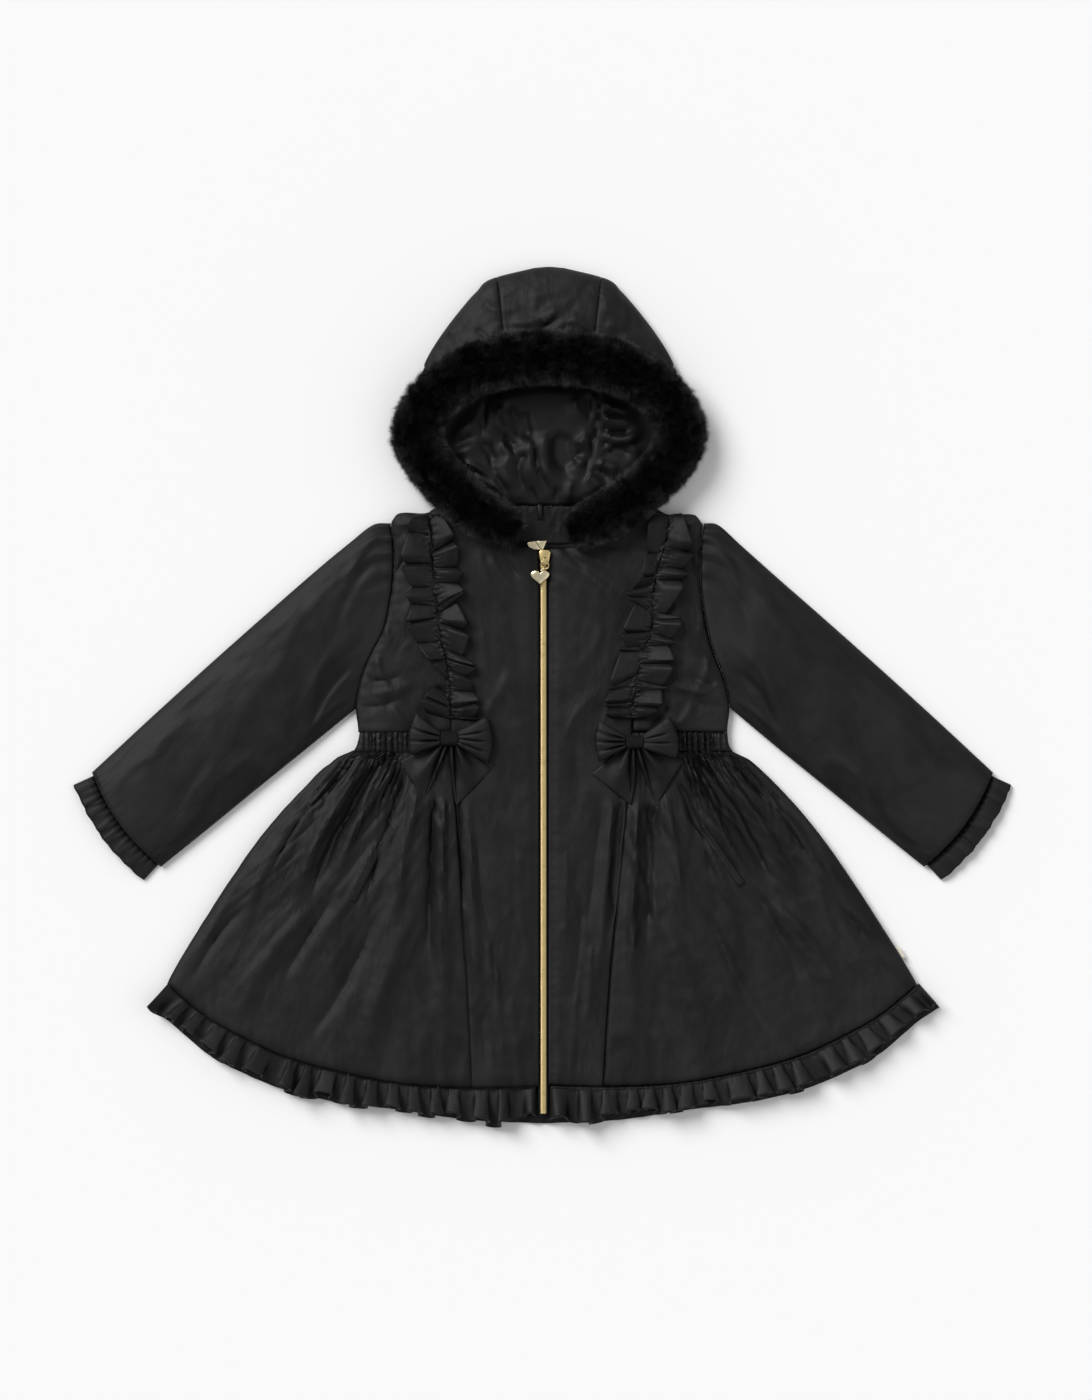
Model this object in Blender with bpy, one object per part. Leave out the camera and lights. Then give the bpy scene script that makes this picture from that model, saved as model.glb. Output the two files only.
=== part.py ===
"""A child's hooded party coat, laid flat on its back with its front up and its arms spread.

All sizes are in millimetres, in the coat's own frame: x to the right, y towards the hood, z up from
the surface that the coat lies on. Every cut piece is one closed solid. The back panels lie on the
surface, the front panels lie on them, and what is sewn on lies on those.
"""

import math

import bmesh
import bpy
from mathutils import Matrix, Vector, noise

MM = 0.001
SEAM = 0.15  # half of the gap between two pieces at a straight seam
CURVED_SEAM = 0.4  # the same where the seam curves, so that the faceted pieces stay apart
ARMHOLE_GAP = 0.9
LAY = 0.35  # gap between a piece and what lies on it

# Heights above the surface
BACK_TOP = 6.0
FRONT_UNDER = BACK_TOP + 0.3
FRONT_TOP = 14.0
SIDE_EDGE = 9.0  # top of a front panel where it rounds down to its side seam
HEM_EDGE = 11.5  # top of the front skirt at the hem seam
ZIP_EDGE = 12.0  # top of a centre front where it meets the zip
ROUNDING = 26.0  # width of the rounded border of a front panel
WALL = 1.5  # single cloth of ruffles and bow tails

# The closing line, and what lies along it
ZIP_X = 1.0
TAPE_HALF = 4.7
CHAIN_HALF = 3.05
ZIP_TOP = 131.0
ZIP_END = -420.0

# Waist and hem
CASING_TOP = -36.0
CASING_END = -56.0

# Side seam and armhole: y, left edge x, right edge x
SIDE_SEAM = (
    (190, -149.0, 158.5), (172, -151.0, 160.5), (150, -148.5, 158.0), (121, -148.5, 157.5),
    (96, -152.0, 159.5), (67, -158.0, 164.5), (46, -169.0, 170.0), (20, -180.0, 180.5),
    (-11, -185.5, 187.0), (-36, -183.0, 185.0), (-55, -189.0, 190.0), (-64, -207.5, 207.5),
    (-104, -248.5, 248.5), (-144, -282.5, 281.5), (-184, -310.5, 309.5), (-224, -336.5, 335.5),
    (-264, -361.0, 360.5), (-290, -375.0, 375.0), (-340, -392.0, 392.0), (-400, -402.0, 402.0),
)
# Seam between centre front and side front, under the chest ruffle and the bow: y, left x, right x
FRONT_SEAM = (
    (190, -112.0, 128.0), (149, -110.0, 119.5), (114, -107.5, 111.5), (57, -101.0, 105.0),
    (22, -95.5, 98.5), (-14, -91.5, 90.5), (-60, -92.0, 90.5), (-109, -88.0, 84.5),
    (-212, -80.5, 74.0), (-295, -75.0, 66.5), (-391, -70.5, 60.5),
)
# Neck and shoulder line of the front: distance from the middle of the shoulders, y
SHOULDER_MIDDLE = 4.5
NECK_LINE = (
    (0, 149.0), (30, 150.5), (55, 160.0), (80, 177.0), (96, 189.0), (108, 188.0), (121, 181.5),
    (148, 181.0), (157, 171.0), (170, 170.0),
)
# Hem seam and free edge of the hem ruffle: distance from the closing line, seam y, edge y
HEM_LINE = (
    (0, -389.5, -428.0), (75, -391.0, -424.5), (140, -387.0, -415.0), (210, -373.5, -406.0),
    (260, -359.0, -394.0), (300, -340.5, -378.0), (337, -319.5, -358.0), (375, -288.5, -326.0),
    (396, -270.0, -312.0),
)
# Sleeve: place along it from the armhole to the cuff, upper edge x y, lower edge x y
SLEEVE = (
    (0.00, -153.0, 173.0, -186.2, -12.0), (0.06, -170.0, 171.5, -202.0, -25.0),
    (0.13, -192.0, 154.5, -218.0, -38.0), (0.25, -228.0, 124.5, -242.0, -57.5),
    (0.50, -310.0, 52.5, -289.0, -95.5), (0.75, -382.0, -12.5, -336.0, -134.0),
    (1.00, -451.0, -76.5, -382.0, -171.0),
)
SLEEVE_ROWS = 1.3  # rows lie closer together near the armhole
CUFF_BULGE = 7.5  # how far the cuff seam bows outwards
CUFF_RUFFLE = 22.0
SLEEVE_SHIFT_RIGHT = 0.0

# Folds of the front skirt: side, start x y, end x y, width, height above the panel
SKIRT_FOLDS = (
    ("l", -160, -70, -228, -200, 8.0, -5.0), ("l", -176, -76, -246, -200, 11.0, 4.5),
    ("l", -146, -74, -208, -190, 9.0, 3.5), ("l", -120, -66, -150, -240, 12.0, 3.0),
    ("l", -105, -70, -112, -260, 10.0, -3.0), ("l", -97, -75, -96, -300, 8.0, 3.5),
    ("l", -200, -80, -300, -230, 14.0, 3.0), ("l", -225, -90, -290, -170, 9.0, -2.5),
    ("l", -130, -230, -180, -372, 16.0, 2.5), ("l", -230, -220, -300, -330, 18.0, 2.5),
    ("l", -170, -230, -240, -350, 14.0, -2.5),
    ("r", 156, -72, 226, -182, 8.0, -5.0), ("r", 174, -76, 252, -190, 11.0, 4.0),
    ("r", 142, -70, 205, -195, 9.0, 4.0), ("r", 116, -66, 142, -230, 12.0, 3.0),
    ("r", 103, -68, 104, -250, 10.0, -3.0), ("r", 94, -72, 84, -300, 8.0, 3.5),
    ("r", 200, -80, 296, -220, 14.0, 3.0), ("r", 222, -92, 284, -165, 9.0, -2.5),
    ("r", 124, -230, 168, -366, 16.0, 2.5), ("r", 232, -210, 304, -320, 18.0, 2.5),
    ("r", 168, -220, 236, -345, 14.0, -2.5),
)
# Pocket welts, in the lee of the deep folds: upper end x y, lower end x y
POCKETS = {"l": (-151.0, -132.0, -191.0, -205.0), "r": (158.0, -130.0, 199.0, -188.0)}
# Folds of the centre front, as above
CENTRE_FOLDS = (
    ("l", -84, -70, -70, -290, 7.0, -4.5), ("l", -72, -100, -58, -300, 7.0, 2.0),
    ("l", -46, -270, -42, -340, 7.0, 2.0), ("r", 80, -70, 62, -300, 7.0, -4.5),
    ("r", 68, -90, 52, -300, 7.0, 2.0), ("r", 34, -30, 26, -140, 12.0, -1.0),
)
CASING_GATHERS = 9  # on each side of the front
GATHER_RISE = 1.8

# Hem ruffle
HEM_WAVES = 17.5  # on each half of the front
BACK_HEM_WAVES = 17  # on each half of the back
HEM_RISE = 11.0
RUFFLE_GAP = 7.0  # from the closing line to the ruffle's end

# Chest ruffles: y, left x, right x of the gather line, and the reach of the two edges beside it
CHEST_LINE = (
    (180, -111.5, 128.0, 15.0, 17.0), (150, -109.5, 120.0, 19.0, 22.0),
    (114, -107.5, 111.5, 21.0, 26.0), (82, -104.5, 108.0, 25.0, 24.0),
    (57, -101.0, 105.0, 26.0, 29.0), (22, -95.5, 98.5, 20.0, 29.0), (-15, -91.0, 90.5, 24.0, 26.0),
)
CHEST_FOLDS = 11
CHEST_RISE = 8.5

# Bow pieces: x and y about the knot's middle, for the left bow and the right one
BOWS = {
    "l": {"knot": (-93.0, -42.0, 17.0, 14.5),
          "loop_l": ((-33.5, 25.0), (-38.5, -17.0)), "loop_r": ((37.5, 21.0), (38.5, -25.0)),
          "tail_l": ((-49.5, -23.0), (-26.5, -64.0), (-7.5, -24.0)),
          "tail_r": ((-1.0, -18.0), (7.0, -68.0), (42.5, -31.0))},
    "r": {"knot": (92.0, -45.5, 17.0, 13.5),
          "loop_l": ((-35.5, 21.5), (-35.0, -20.5)), "loop_r": ((34.5, 24.5), (41.5, -17.0)),
          "tail_l": ((-43.0, -32.0), (-4.0, -63.0), (3.0, -25.0)),
          "tail_r": ((2.0, -14.0), (22.0, -63.5), (49.0, -18.5))},
}
KNOT_HALF = 7.0
BOW_PRESS = (0.0, -25.0, 62.0, 88.0)  # where a bow holds the cloth flat: x y about its knot, radii
TAIL_BASE = FRONT_TOP + 0.45
BOW_BASE = TAIL_BASE + 4.3  # underside of the loops, over the tails
LOOP_DEPTH = 9.0
LOOP_WALL = 2.4
KNOT_PROUD = 2.4  # how far the knot stands out over and under the loops

# Hood, about its own middle line: y, half width of its outline
HOOD_X = 6.5
HOOD_OUTLINE = (
    (428, 10.0), (416, 57.0), (404, 71.0), (392, 82.0), (368, 101.0), (344, 117.0), (320, 129.0),
    (291, 145.0), (262, 147.0), (236, 139.0), (212, 123.0), (200, 110.0), (188, 100.0),
)
HOOD_FOOT = 190.5  # where the hood meets the bodice
LINING_TOP = 8.2
LINING_INSET = 17.0  # from the hood's outline to the satin, under the crown
CROWN_WALL = 4.0
CROWN_END = 331.0  # how far down the crown reaches at its sides
# Folds of the satin inside the hood: side, start x y, end x y, width, height
LINING_FOLDS = (
    ("m", -32, 205, -62, 296, 7.0, 3.2), ("m", -12, 200, -34, 300, 6.0, 2.6),
    ("m", 6, 196, 0, 296, 7.0, 2.8), ("m", 24, 204, 34, 302, 6.0, 3.0),
    ("m", 40, 212, 84, 292, 8.0, 3.2), ("m", -50, 226, -84, 280, 7.0, 2.4),
)

# Middle of the fur roll, from its top to its lower end: x about the hood's middle, y, z of its middle,
# half width, half height
FUR_LINE = (
    (0.0, 337.5, 50.0, 28.5, 17.0), (46.0, 333.5, 49.0, 28.5, 17.0), (87.0, 319.0, 42.0, 27.5, 17.0),
    (118.0, 294.0, 31.0, 27.0, 17.0), (132.5, 262.0, 25.7, 26.5, 17.0),
    (122.0, 236.0, 25.7, 26.0, 17.0), (99.0, 209.0, 25.2, 25.5, 15.5),
    (73.0, 188.0, 30.2, 25.5, 15.5), (48.0, 173.5, 30.4, 25.0, 15.5), (27.0, 164.0, 29.0, 21.0, 14.0),
)
FUR_END_SHIFT = -5.5  # the lower ends lie nearer the closing line than the hood's middle

# Zip slider and pull
SLIDER = (ZIP_X + 1.2, 138.5, 12.0, 15.0)  # middle x y, width, length
SLIDER_TOP = 16.8
BAIL = (131.0, 138.6, 3.0, 21.2)  # from y, to y, width, top
BAIL_WALL = 1.3
PULL_AXIS = (134.6, 18.6)  # y and z of the link's upper bar, in the slider's bail
HEART_AXIS = (127.2, 17.0)  # y and z of the link's lower bar, in the heart's eye
LINK_WIRE = 0.65
LINK_WIDTH = 7.6
EYE = (1.05, 1.85, 1.8)  # hole radius, outer radius, width
HEART = (19.0, 15.0, 14.5, 17.5)  # width, height, underside, top
HEART_X = ZIP_X - 3.5


# Folded ends of the zip's tape, above the slider
ZIP_WINGS = {
    "l": ((-15.8, 153.2), (-13.5, 149.0), (-8.5, 146.6), (-1.9, 146.3), (-2.6, 147.6), (-7.0, 154.8)),
    "r": ((-1.6, 146.3), (0.6, 146.3), (4.2, 155.2), (-6.2, 154.8), (-2.1, 147.6)),
}


def lerp(a, b, t):
    return a + (b - a) * t


def smooth(t):
    """Eases from 0 to 1."""
    t = min(1.0, max(0.0, t))
    return t * t * (3 - 2 * t)


def read(rows, key, column):
    """Value of a column where the first column equals key, along a smooth curve through the rows."""
    rows = rows if rows[0][0] < rows[-1][0] else rows[::-1]
    key = min(max(key, rows[0][0]), rows[-1][0])
    i = max(n for n in range(len(rows) - 1) if rows[n][0] <= key)
    a, b = rows[i], rows[i + 1]
    step = b[0] - a[0]
    t = (key - a[0]) / step

    def slope(n):
        before, after = rows[max(0, n - 1)], rows[min(len(rows) - 1, n + 1)]
        return (after[column] - before[column]) / (after[0] - before[0])

    ends = (1 - t) ** 2 * (1 + 2 * t) * a[column] + t * t * (3 - 2 * t) * b[column]
    return ends + step * t * (1 - t) * ((1 - t) * slope(i) - t * slope(i + 1))


def rounded(inset, full, edge, width=ROUNDING):
    """Height of a padded panel at a distance in from its rounded edge."""
    t = min(1.0, max(0.0, inset / width))
    return edge + (full - edge) * math.sqrt(1 - (1 - t) ** 2)


def folds_at(x, y, side, table):
    """Height that the folds of a table add at a place."""
    rise = 0.0
    for which, x0, y0, x1, y1, width, height in table:
        if which != side:
            continue
        run = Vector((x1 - x0, y1 - y0))
        offset = Vector((x - x0, y - y0))
        along = offset.dot(run) / run.length_squared
        across = abs(offset.cross(run)) / run.length
        if -0.25 < along < 1.25:
            taper = smooth((along + 0.25) / 0.45) * smooth((1.25 - along) / 0.6)
            rise += height * taper * math.exp(-((across / width) ** 2))
    return rise


def side_x(side, y):
    return read(SIDE_SEAM, y, 1 if side == "l" else 2)


def front_seam_x(side, y):
    return read(FRONT_SEAM, y, 1 if side == "l" else 2)


def sign(side):
    return -1 if side == "l" else 1


def neck_y(x):
    return read(NECK_LINE, abs(x - SHOULDER_MIDDLE), 1)


def hem_y(x):
    return read(HEM_LINE, abs(x - ZIP_X), 1)


# Materials

def material(name, colour, roughness, metallic=0.0):
    made = bpy.data.materials.new(name)
    made.use_nodes = True
    shader = made.node_tree.nodes["Principled BSDF"]
    shader.inputs["Base Color"].default_value = (*colour, 1.0)
    shader.inputs["Roughness"].default_value = roughness
    shader.inputs["Metallic"].default_value = metallic
    return made


def make_materials():
    return {
        "taffeta": material("taffeta", (0.021, 0.021, 0.022), 0.45),
        "lining": material("lining", (0.012, 0.012, 0.013), 0.3),
        "fur": material("fur", (0.004, 0.004, 0.004), 0.9),
        "tape": material("tape", (0.012, 0.012, 0.012), 0.8),
        "gold": material("gold", (0.83, 0.66, 0.34), 0.3, 1.0),
        "tab": material("tab", (0.8, 0.76, 0.66), 0.8),
    }


# Ways of making a solid

def as_object(mesh, name, finish, flat_under=None):
    """Ends a piece: one closed body, its faces pointing out, its flat underside without needless edges."""
    bmesh.ops.recalc_face_normals(mesh, faces=mesh.faces[:])
    if flat_under is not None:
        flat = [v for v in mesh.verts if abs(v.co.z - flat_under * MM) < 1e-7]
        chosen = set(flat)
        edges = [e for e in mesh.edges if e.verts[0] in chosen and e.verts[1] in chosen]
        bmesh.ops.dissolve_limit(mesh, angle_limit=0.004, verts=flat, edges=edges)
    data = bpy.data.meshes.new(name)
    mesh.to_mesh(data)
    mesh.free()
    data.materials.append(finish)
    data.shade_smooth()
    data.set_sharp_from_angle(angle=math.radians(50))
    made = bpy.data.objects.new(name, data)
    bpy.context.collection.objects.link(made)
    return made


def cloth(name, across, along, outer, inner, finish, closed=False, flat_under=None):
    """A wall of cloth between two surfaces. outer and inner give x y z at u across and v along the
    piece, each from 0 to 1. A closed wall runs round a tube, its last column on its first."""
    mesh = bmesh.new()
    bmesh.ops.create_grid(mesh, x_segments=across, y_segments=along, size=0.5)
    place = mesh.verts.layers.float_vector.new("place")
    for v in mesh.verts:
        v[place] = (v.co.x + 0.5, v.co.y + 0.5, 0.0)
        v.co = Vector(outer(v[place].x, v[place].y)) * MM
    if closed:
        bmesh.ops.remove_doubles(mesh, verts=mesh.verts[:], dist=1e-7)
    made = bmesh.ops.extrude_face_region(mesh, geom=mesh.faces[:])
    for v in made["geom"]:
        if isinstance(v, bmesh.types.BMVert):
            v.co = Vector(inner(v[place].x % 1.0 if closed else v[place].x, v[place].y)) * MM
    return as_object(mesh, name, finish, flat_under)


def roll(name, around, along, surface, finish):
    """A solid roll: surface gives x y z at u round it and v along it. Its ends are filled."""
    mesh = bmesh.new()
    bmesh.ops.create_grid(mesh, x_segments=around, y_segments=along, size=0.5)
    for v in mesh.verts:
        v.co = Vector(surface(v.co.x + 0.5, v.co.y + 0.5)) * MM
    bmesh.ops.remove_doubles(mesh, verts=mesh.verts[:], dist=1e-7)
    bmesh.ops.holes_fill(mesh, edges=[e for e in mesh.edges if e.is_boundary], sides=0)
    return as_object(mesh, name, finish)


def plate(name, outline, low, high, finish, bevel=0.0):
    """A flat plate of the given outline."""
    mesh = bmesh.new()
    corners = [mesh.verts.new((x * MM, y * MM, low * MM)) for x, y in outline]
    face = mesh.faces.new(corners)
    made = bmesh.ops.extrude_face_region(mesh, geom=[face])
    top = [v for v in made["geom"] if isinstance(v, bmesh.types.BMVert)]
    bmesh.ops.translate(mesh, verts=top, vec=(0, 0, (high - low) * MM))
    if bevel:
        rim = [e for e in mesh.edges if all(v in top for v in e.verts)]
        bmesh.ops.bevel(mesh, geom=rim, offset=bevel * MM, segments=2, profile=0.5, affect="EDGES",
                        material=-1)
    return as_object(mesh, name, finish)


def pillow(name, outline, low, high, finish):
    """A plate of the given outline whose two faces round off towards its rim."""
    middle = Vector((sum(x for x, y in outline), sum(y for x, y in outline))) / len(outline)
    levels = ((0.0, 0.8), (0.25, 0.96), (0.5, 1.0), (0.75, 0.96), (0.94, 0.82), (1.0, 0.45))

    def surface(u, v):
        share, scale = levels[round(v * (len(levels) - 1))]
        at = middle + (Vector(outline[round(u * len(outline)) % len(outline)]) - middle) * scale
        return at.x, at.y, lerp(low, high, share)

    return roll(name, len(outline), len(levels) - 1, surface, finish)


def box(x0, x1, y0, y1):
    return ((x0, y0), (x1, y0), (x1, y1), (x0, y1))


# Panels of the coat

def strip(inner, outer, bottom, top):
    """Place at u from the inner to the outer edge line and v from the bottom to the top line. The edge
    lines give x for y, the bottom and top lines give y for x."""
    def height(line, u):
        y = line(lerp(inner(0), outer(0), u))
        for _ in range(6):
            y = lerp(y, line(lerp(inner(y), outer(y), u)), 0.8)
        return y

    def place(u, v):
        y = lerp(height(bottom, u), height(top, u), v)
        return lerp(inner(y), outer(y), u), y

    return place


def slab(name, place, across, along, over, under, finish, flat_under=None):
    """A panel whose top is over(x, y) and whose underside is under(x, y)."""
    def outer(u, v):
        x, y = place(u, v)
        return x, y, over(x, y)

    def inner(u, v):
        x, y = place(u, v)
        return x, y, under(x, y)

    return cloth(name, across, along, outer, inner, finish, flat_under=flat_under)


def front_height(side, x, y):
    """Top of the front panels, without gathers: rounded at the side seam, armhole, shoulder, neck and
    hem, and level in the middle, where the ruffles and bows lie."""
    inset = abs(side_x(side, y) - x) * 0.85
    high = rounded(inset, FRONT_TOP, SIDE_EDGE)
    high = min(high, rounded(neck_y(x) - y, FRONT_TOP, SIDE_EDGE + 1.5, 14.0))
    high = min(high, rounded(y - hem_y(x), FRONT_TOP, HEM_EDGE, 12.0))
    return high


def held_flat(side, x, y):
    """1 under a bow, which holds the cloth flat, and 0 away from it."""
    cx, cy = BOWS[side]["knot"][:2]
    dx, dy, wide, high = BOW_PRESS
    return 1 - smooth((math.hypot((x - cx - dx) / wide, (y - cy - dy) / high) - 0.95) / 0.3)


def centre_height(side, x, y):
    flat = smooth((-58 - y) / 24) * (1 - held_flat(side, x, y))
    edge = smooth(abs(x - ZIP_X) / 16 - 0.3)
    beside_zip = (FRONT_TOP - ZIP_EDGE) * (1 - smooth((abs(x - ZIP_X) - TAPE_HALF) / 12))
    return front_height(side, x, y) - beside_zip + flat * edge * folds_at(x, y, side, CENTRE_FOLDS)


def gather_wave(side, x, y):
    """Small gathers where the skirt and the bodice meet the elastic casing, from -1 to 1."""
    inner, outer = front_seam_x(side, CASING_TOP), side_x(side, CASING_TOP)
    spread = lerp(1.0, 1.35, smooth((CASING_END - y) / 60))
    share = (x - inner) / (outer - inner) / spread
    return math.cos(2 * math.pi * CASING_GATHERS * share + 0.9 * math.sin(7 * share))


def skirt_height(side, x, y):
    below = CASING_END - y
    clear = smooth((abs(front_seam_x(side, y) - x) - 1) / 10)
    rise = smooth(below / 30) * folds_at(x, y, side, SKIRT_FOLDS)
    gathers = GATHER_RISE * math.exp(-((max(0.0, below) / 34) ** 2)) * gather_wave(side, x, y)
    edge = smooth(abs(side_x(side, y) - x) / 30)
    hem = smooth((y - hem_y(x)) / 22)
    free = 1 - held_flat(side, x, y)
    return front_height(side, x, y) + free * edge * (clear * hem * rise + gathers)


def casing_height(side, x, y):
    edge = smooth(abs(side_x(side, y) - x) / 20)
    middle = 1 - ((y - (CASING_TOP + CASING_END) / 2) / (CASING_TOP - CASING_END) * 2) ** 2
    free = 1 - held_flat(side, x, y)
    return front_height(side, x, y) - 1.5 + middle + free * GATHER_RISE * edge * gather_wave(side, x, y)


def back_height(x, y):
    inset = min(abs(side_x("l", y) - x), abs(side_x("r", y) - x)) * 0.85
    return rounded(inset, BACK_TOP, 4.0, 14.0)


def level(z):
    return lambda x, y: z


def make_panels(finish):
    for side in ("l", "r"):
        out = sign(side)
        centre_top = strip(lambda y: ZIP_X + out * (TAPE_HALF + LAY),
                           lambda y: front_seam_x(side, y) - out * CURVED_SEAM,
                           lambda x: hem_y(x), lambda x: neck_y(x))
        slab(f"front_centre_{side}", centre_top, 6, 21, lambda x, y: centre_height(side, x, y),
             level(FRONT_UNDER), finish, FRONT_UNDER)
        seam_to_side = (lambda y: front_seam_x(side, y) + out * CURVED_SEAM, lambda y: side_x(side, y))
        slab(f"front_side_{side}",
             strip(*seam_to_side, lambda x: CASING_TOP + SEAM, lambda x: neck_y(x)), 8, 12,
             lambda x, y: front_height(side, x, y), level(FRONT_UNDER), finish, FRONT_UNDER)
        slab(f"front_casing_{side}",
             strip(*seam_to_side, lambda x: CASING_END + SEAM, lambda x: CASING_TOP - SEAM), 38, 2,
             lambda x, y: casing_height(side, x, y), level(FRONT_UNDER), finish, FRONT_UNDER)
        slab(f"front_skirt_{side}",
             strip(*seam_to_side, lambda x: hem_y(x), lambda x: CASING_END - SEAM), 40, 9,
             lambda x, y: skirt_height(side, x, y), level(FRONT_UNDER), finish, FRONT_UNDER)
    whole = (lambda y: side_x("l", y), lambda y: side_x("r", y))
    back_neck = HOOD_FOOT - SEAM * 2
    slab("back_bodice",
         strip(*whole, lambda x: CASING_TOP + SEAM, lambda x: min(back_neck, back_shoulder_y(x))),
         12, 12, back_height, level(0), finish, 0)
    slab("back_casing", strip(*whole, lambda x: CASING_END + SEAM, lambda x: CASING_TOP - SEAM),
         12, 1, back_height, level(0), finish, 0)
    slab("back_skirt", strip(*whole, lambda x: hem_y(x), lambda x: CASING_END - SEAM),
         18, 6, back_height, level(0), finish, 0)


def back_shoulder_y(x):
    """Shoulder line of the back, level across the neck."""
    return neck_y(max(abs(x - SHOULDER_MIDDLE), 97.0) + SHOULDER_MIDDLE)


# Sleeves

def sleeve_place(side, t, v):
    """Plan of the laid sleeve: t from its upper to its lower edge, v from the armhole to the cuff."""
    upper = Vector((read(SLEEVE, v, 1), read(SLEEVE, v, 2)))
    lower = Vector((read(SLEEVE, v, 3), read(SLEEVE, v, 4)))
    at = upper.lerp(lower, t)
    across = (lower - upper).normalized()
    outwards = Vector((across.y, -across.x))
    if outwards.x > 0:
        outwards.negate()
    at += outwards * CUFF_BULGE * math.sin(math.pi * t) * v ** 3
    y = lerp(SLEEVE[0][2], SLEEVE[0][4], t)
    near = max(0.0, 1 - v / 0.3) ** 2
    if side == "l":
        at.x += near * (side_x("l", y) - ARMHOLE_GAP - lerp(SLEEVE[0][1], SLEEVE[0][3], t))
    else:
        at.x = SLEEVE_SHIFT_RIGHT - at.x
        start = SLEEVE_SHIFT_RIGHT - lerp(SLEEVE[0][1], SLEEVE[0][3], t)
        at.x += near * (side_x("r", y) + ARMHOLE_GAP - start)
    return at


def make_sleeves(finish):
    """Each sleeve is a padded tube laid flat, its two walls a thin slit apart, open at both ends."""
    for side in ("l", "r"):
        def outline(u, v, inset):
            turn = 2 * math.pi * u
            reach = math.copysign(abs(math.cos(turn)) ** 0.75, math.cos(turn))
            t = 0.5 - 0.5 * reach
            width = lerp(185.0, 115.0, smooth(v / 0.8))
            t = 0.5 + (t - 0.5) * (1 - 2 * inset / width)
            return turn, t

        def outer(u, v):
            v = v ** SLEEVE_ROWS
            turn, t = outline(u, v, 0.0)
            full = lerp(FRONT_TOP, 21.0, smooth(v / 0.25)) - 3.0 * smooth((v - 0.55) / 0.45)
            arch = math.sqrt(max(0.0, 1 - (2 * t - 1) ** 2))
            if math.sin(turn) >= 0:
                z = 5.0 + (full - 5.0) * arch
            else:
                z = 5.0 - 5.0 * min(1.0, arch * 2.2)
            at = sleeve_place(side, t, v)
            return at.x, at.y, z

        def inner(u, v):
            v = v ** SLEEVE_ROWS
            turn, t = outline(u, v, 7.0)
            z = 5.5 + 1.0 * math.sin(turn)
            at = sleeve_place(side, t, v)
            return at.x, at.y, z

        cloth(f"sleeve_{side}", 16, 11, outer, inner, finish, closed=True)


def make_cuff_ruffles(finish):
    """A gathered frill round each cuff: waves on its front, its back flat on the surface."""
    waves = 9
    for side in ("l", "r"):
        def wall(u, v, inside):
            front = u <= 0.5
            share = 2 * u if front else 2 * (1 - u)
            full = math.sin(math.pi * share) ** 0.4 if 0 < share < 1 else 0.0
            t = 0.5 + (share - 0.5) * (0.94 - (0.04 * (1 - full) if inside else 0.0))
            at = sleeve_place(side, t, 1.0)
            ahead = (sleeve_place(side, t + 0.01, 1.0) - sleeve_place(side, t - 0.01, 1.0)).normalized()
            outwards = Vector((ahead.y, -ahead.x))
            if (outwards.x > 0) == (side == "l"):
                outwards.negate()
            phase = 2 * math.pi * waves * share
            wave = 0.5 - 0.5 * math.cos(phase)
            reach = CUFF_RUFFLE * (1 + 0.06 * math.sin(2.3 * phase))
            at = at + outwards * (0.4 + reach * v) + ahead * 0.6 * v * math.sin(2 * phase) * full
            rise = full * (5.5 + (1.5 + 6.5 * v) * wave) if front else -2.6 * full
            wall_thickness = 0.0
            if inside:
                wall_thickness = -WALL * full if front else WALL * full
            return at.x, at.y, 2.6 + rise + wall_thickness

        cloth(f"cuff_ruffle_{side}", 56, 1, lambda u, v: wall(u, v, False),
              lambda u, v: wall(u, v, True), finish, closed=True)


# Hem ruffles

def hem_place(side, s, v, reach_factor=1.0):
    """Plan of the hem ruffle: s from the closing line to the side seam, v from the seam outwards."""
    out = sign(side)
    far = 376.0
    d = lerp(RUFFLE_GAP, far, 1 - (1 - s) ** 1.05)
    seam = Vector((ZIP_X + out * d, read(HEM_LINE, d, 1) - 2 * SEAM))
    edge = Vector((ZIP_X + out * (d + 21.0 * smooth((d - 120) / 240)), 0))
    edge.y = read(HEM_LINE, abs(edge.x - ZIP_X), 2)
    return seam.lerp(edge, v * reach_factor)


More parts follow.
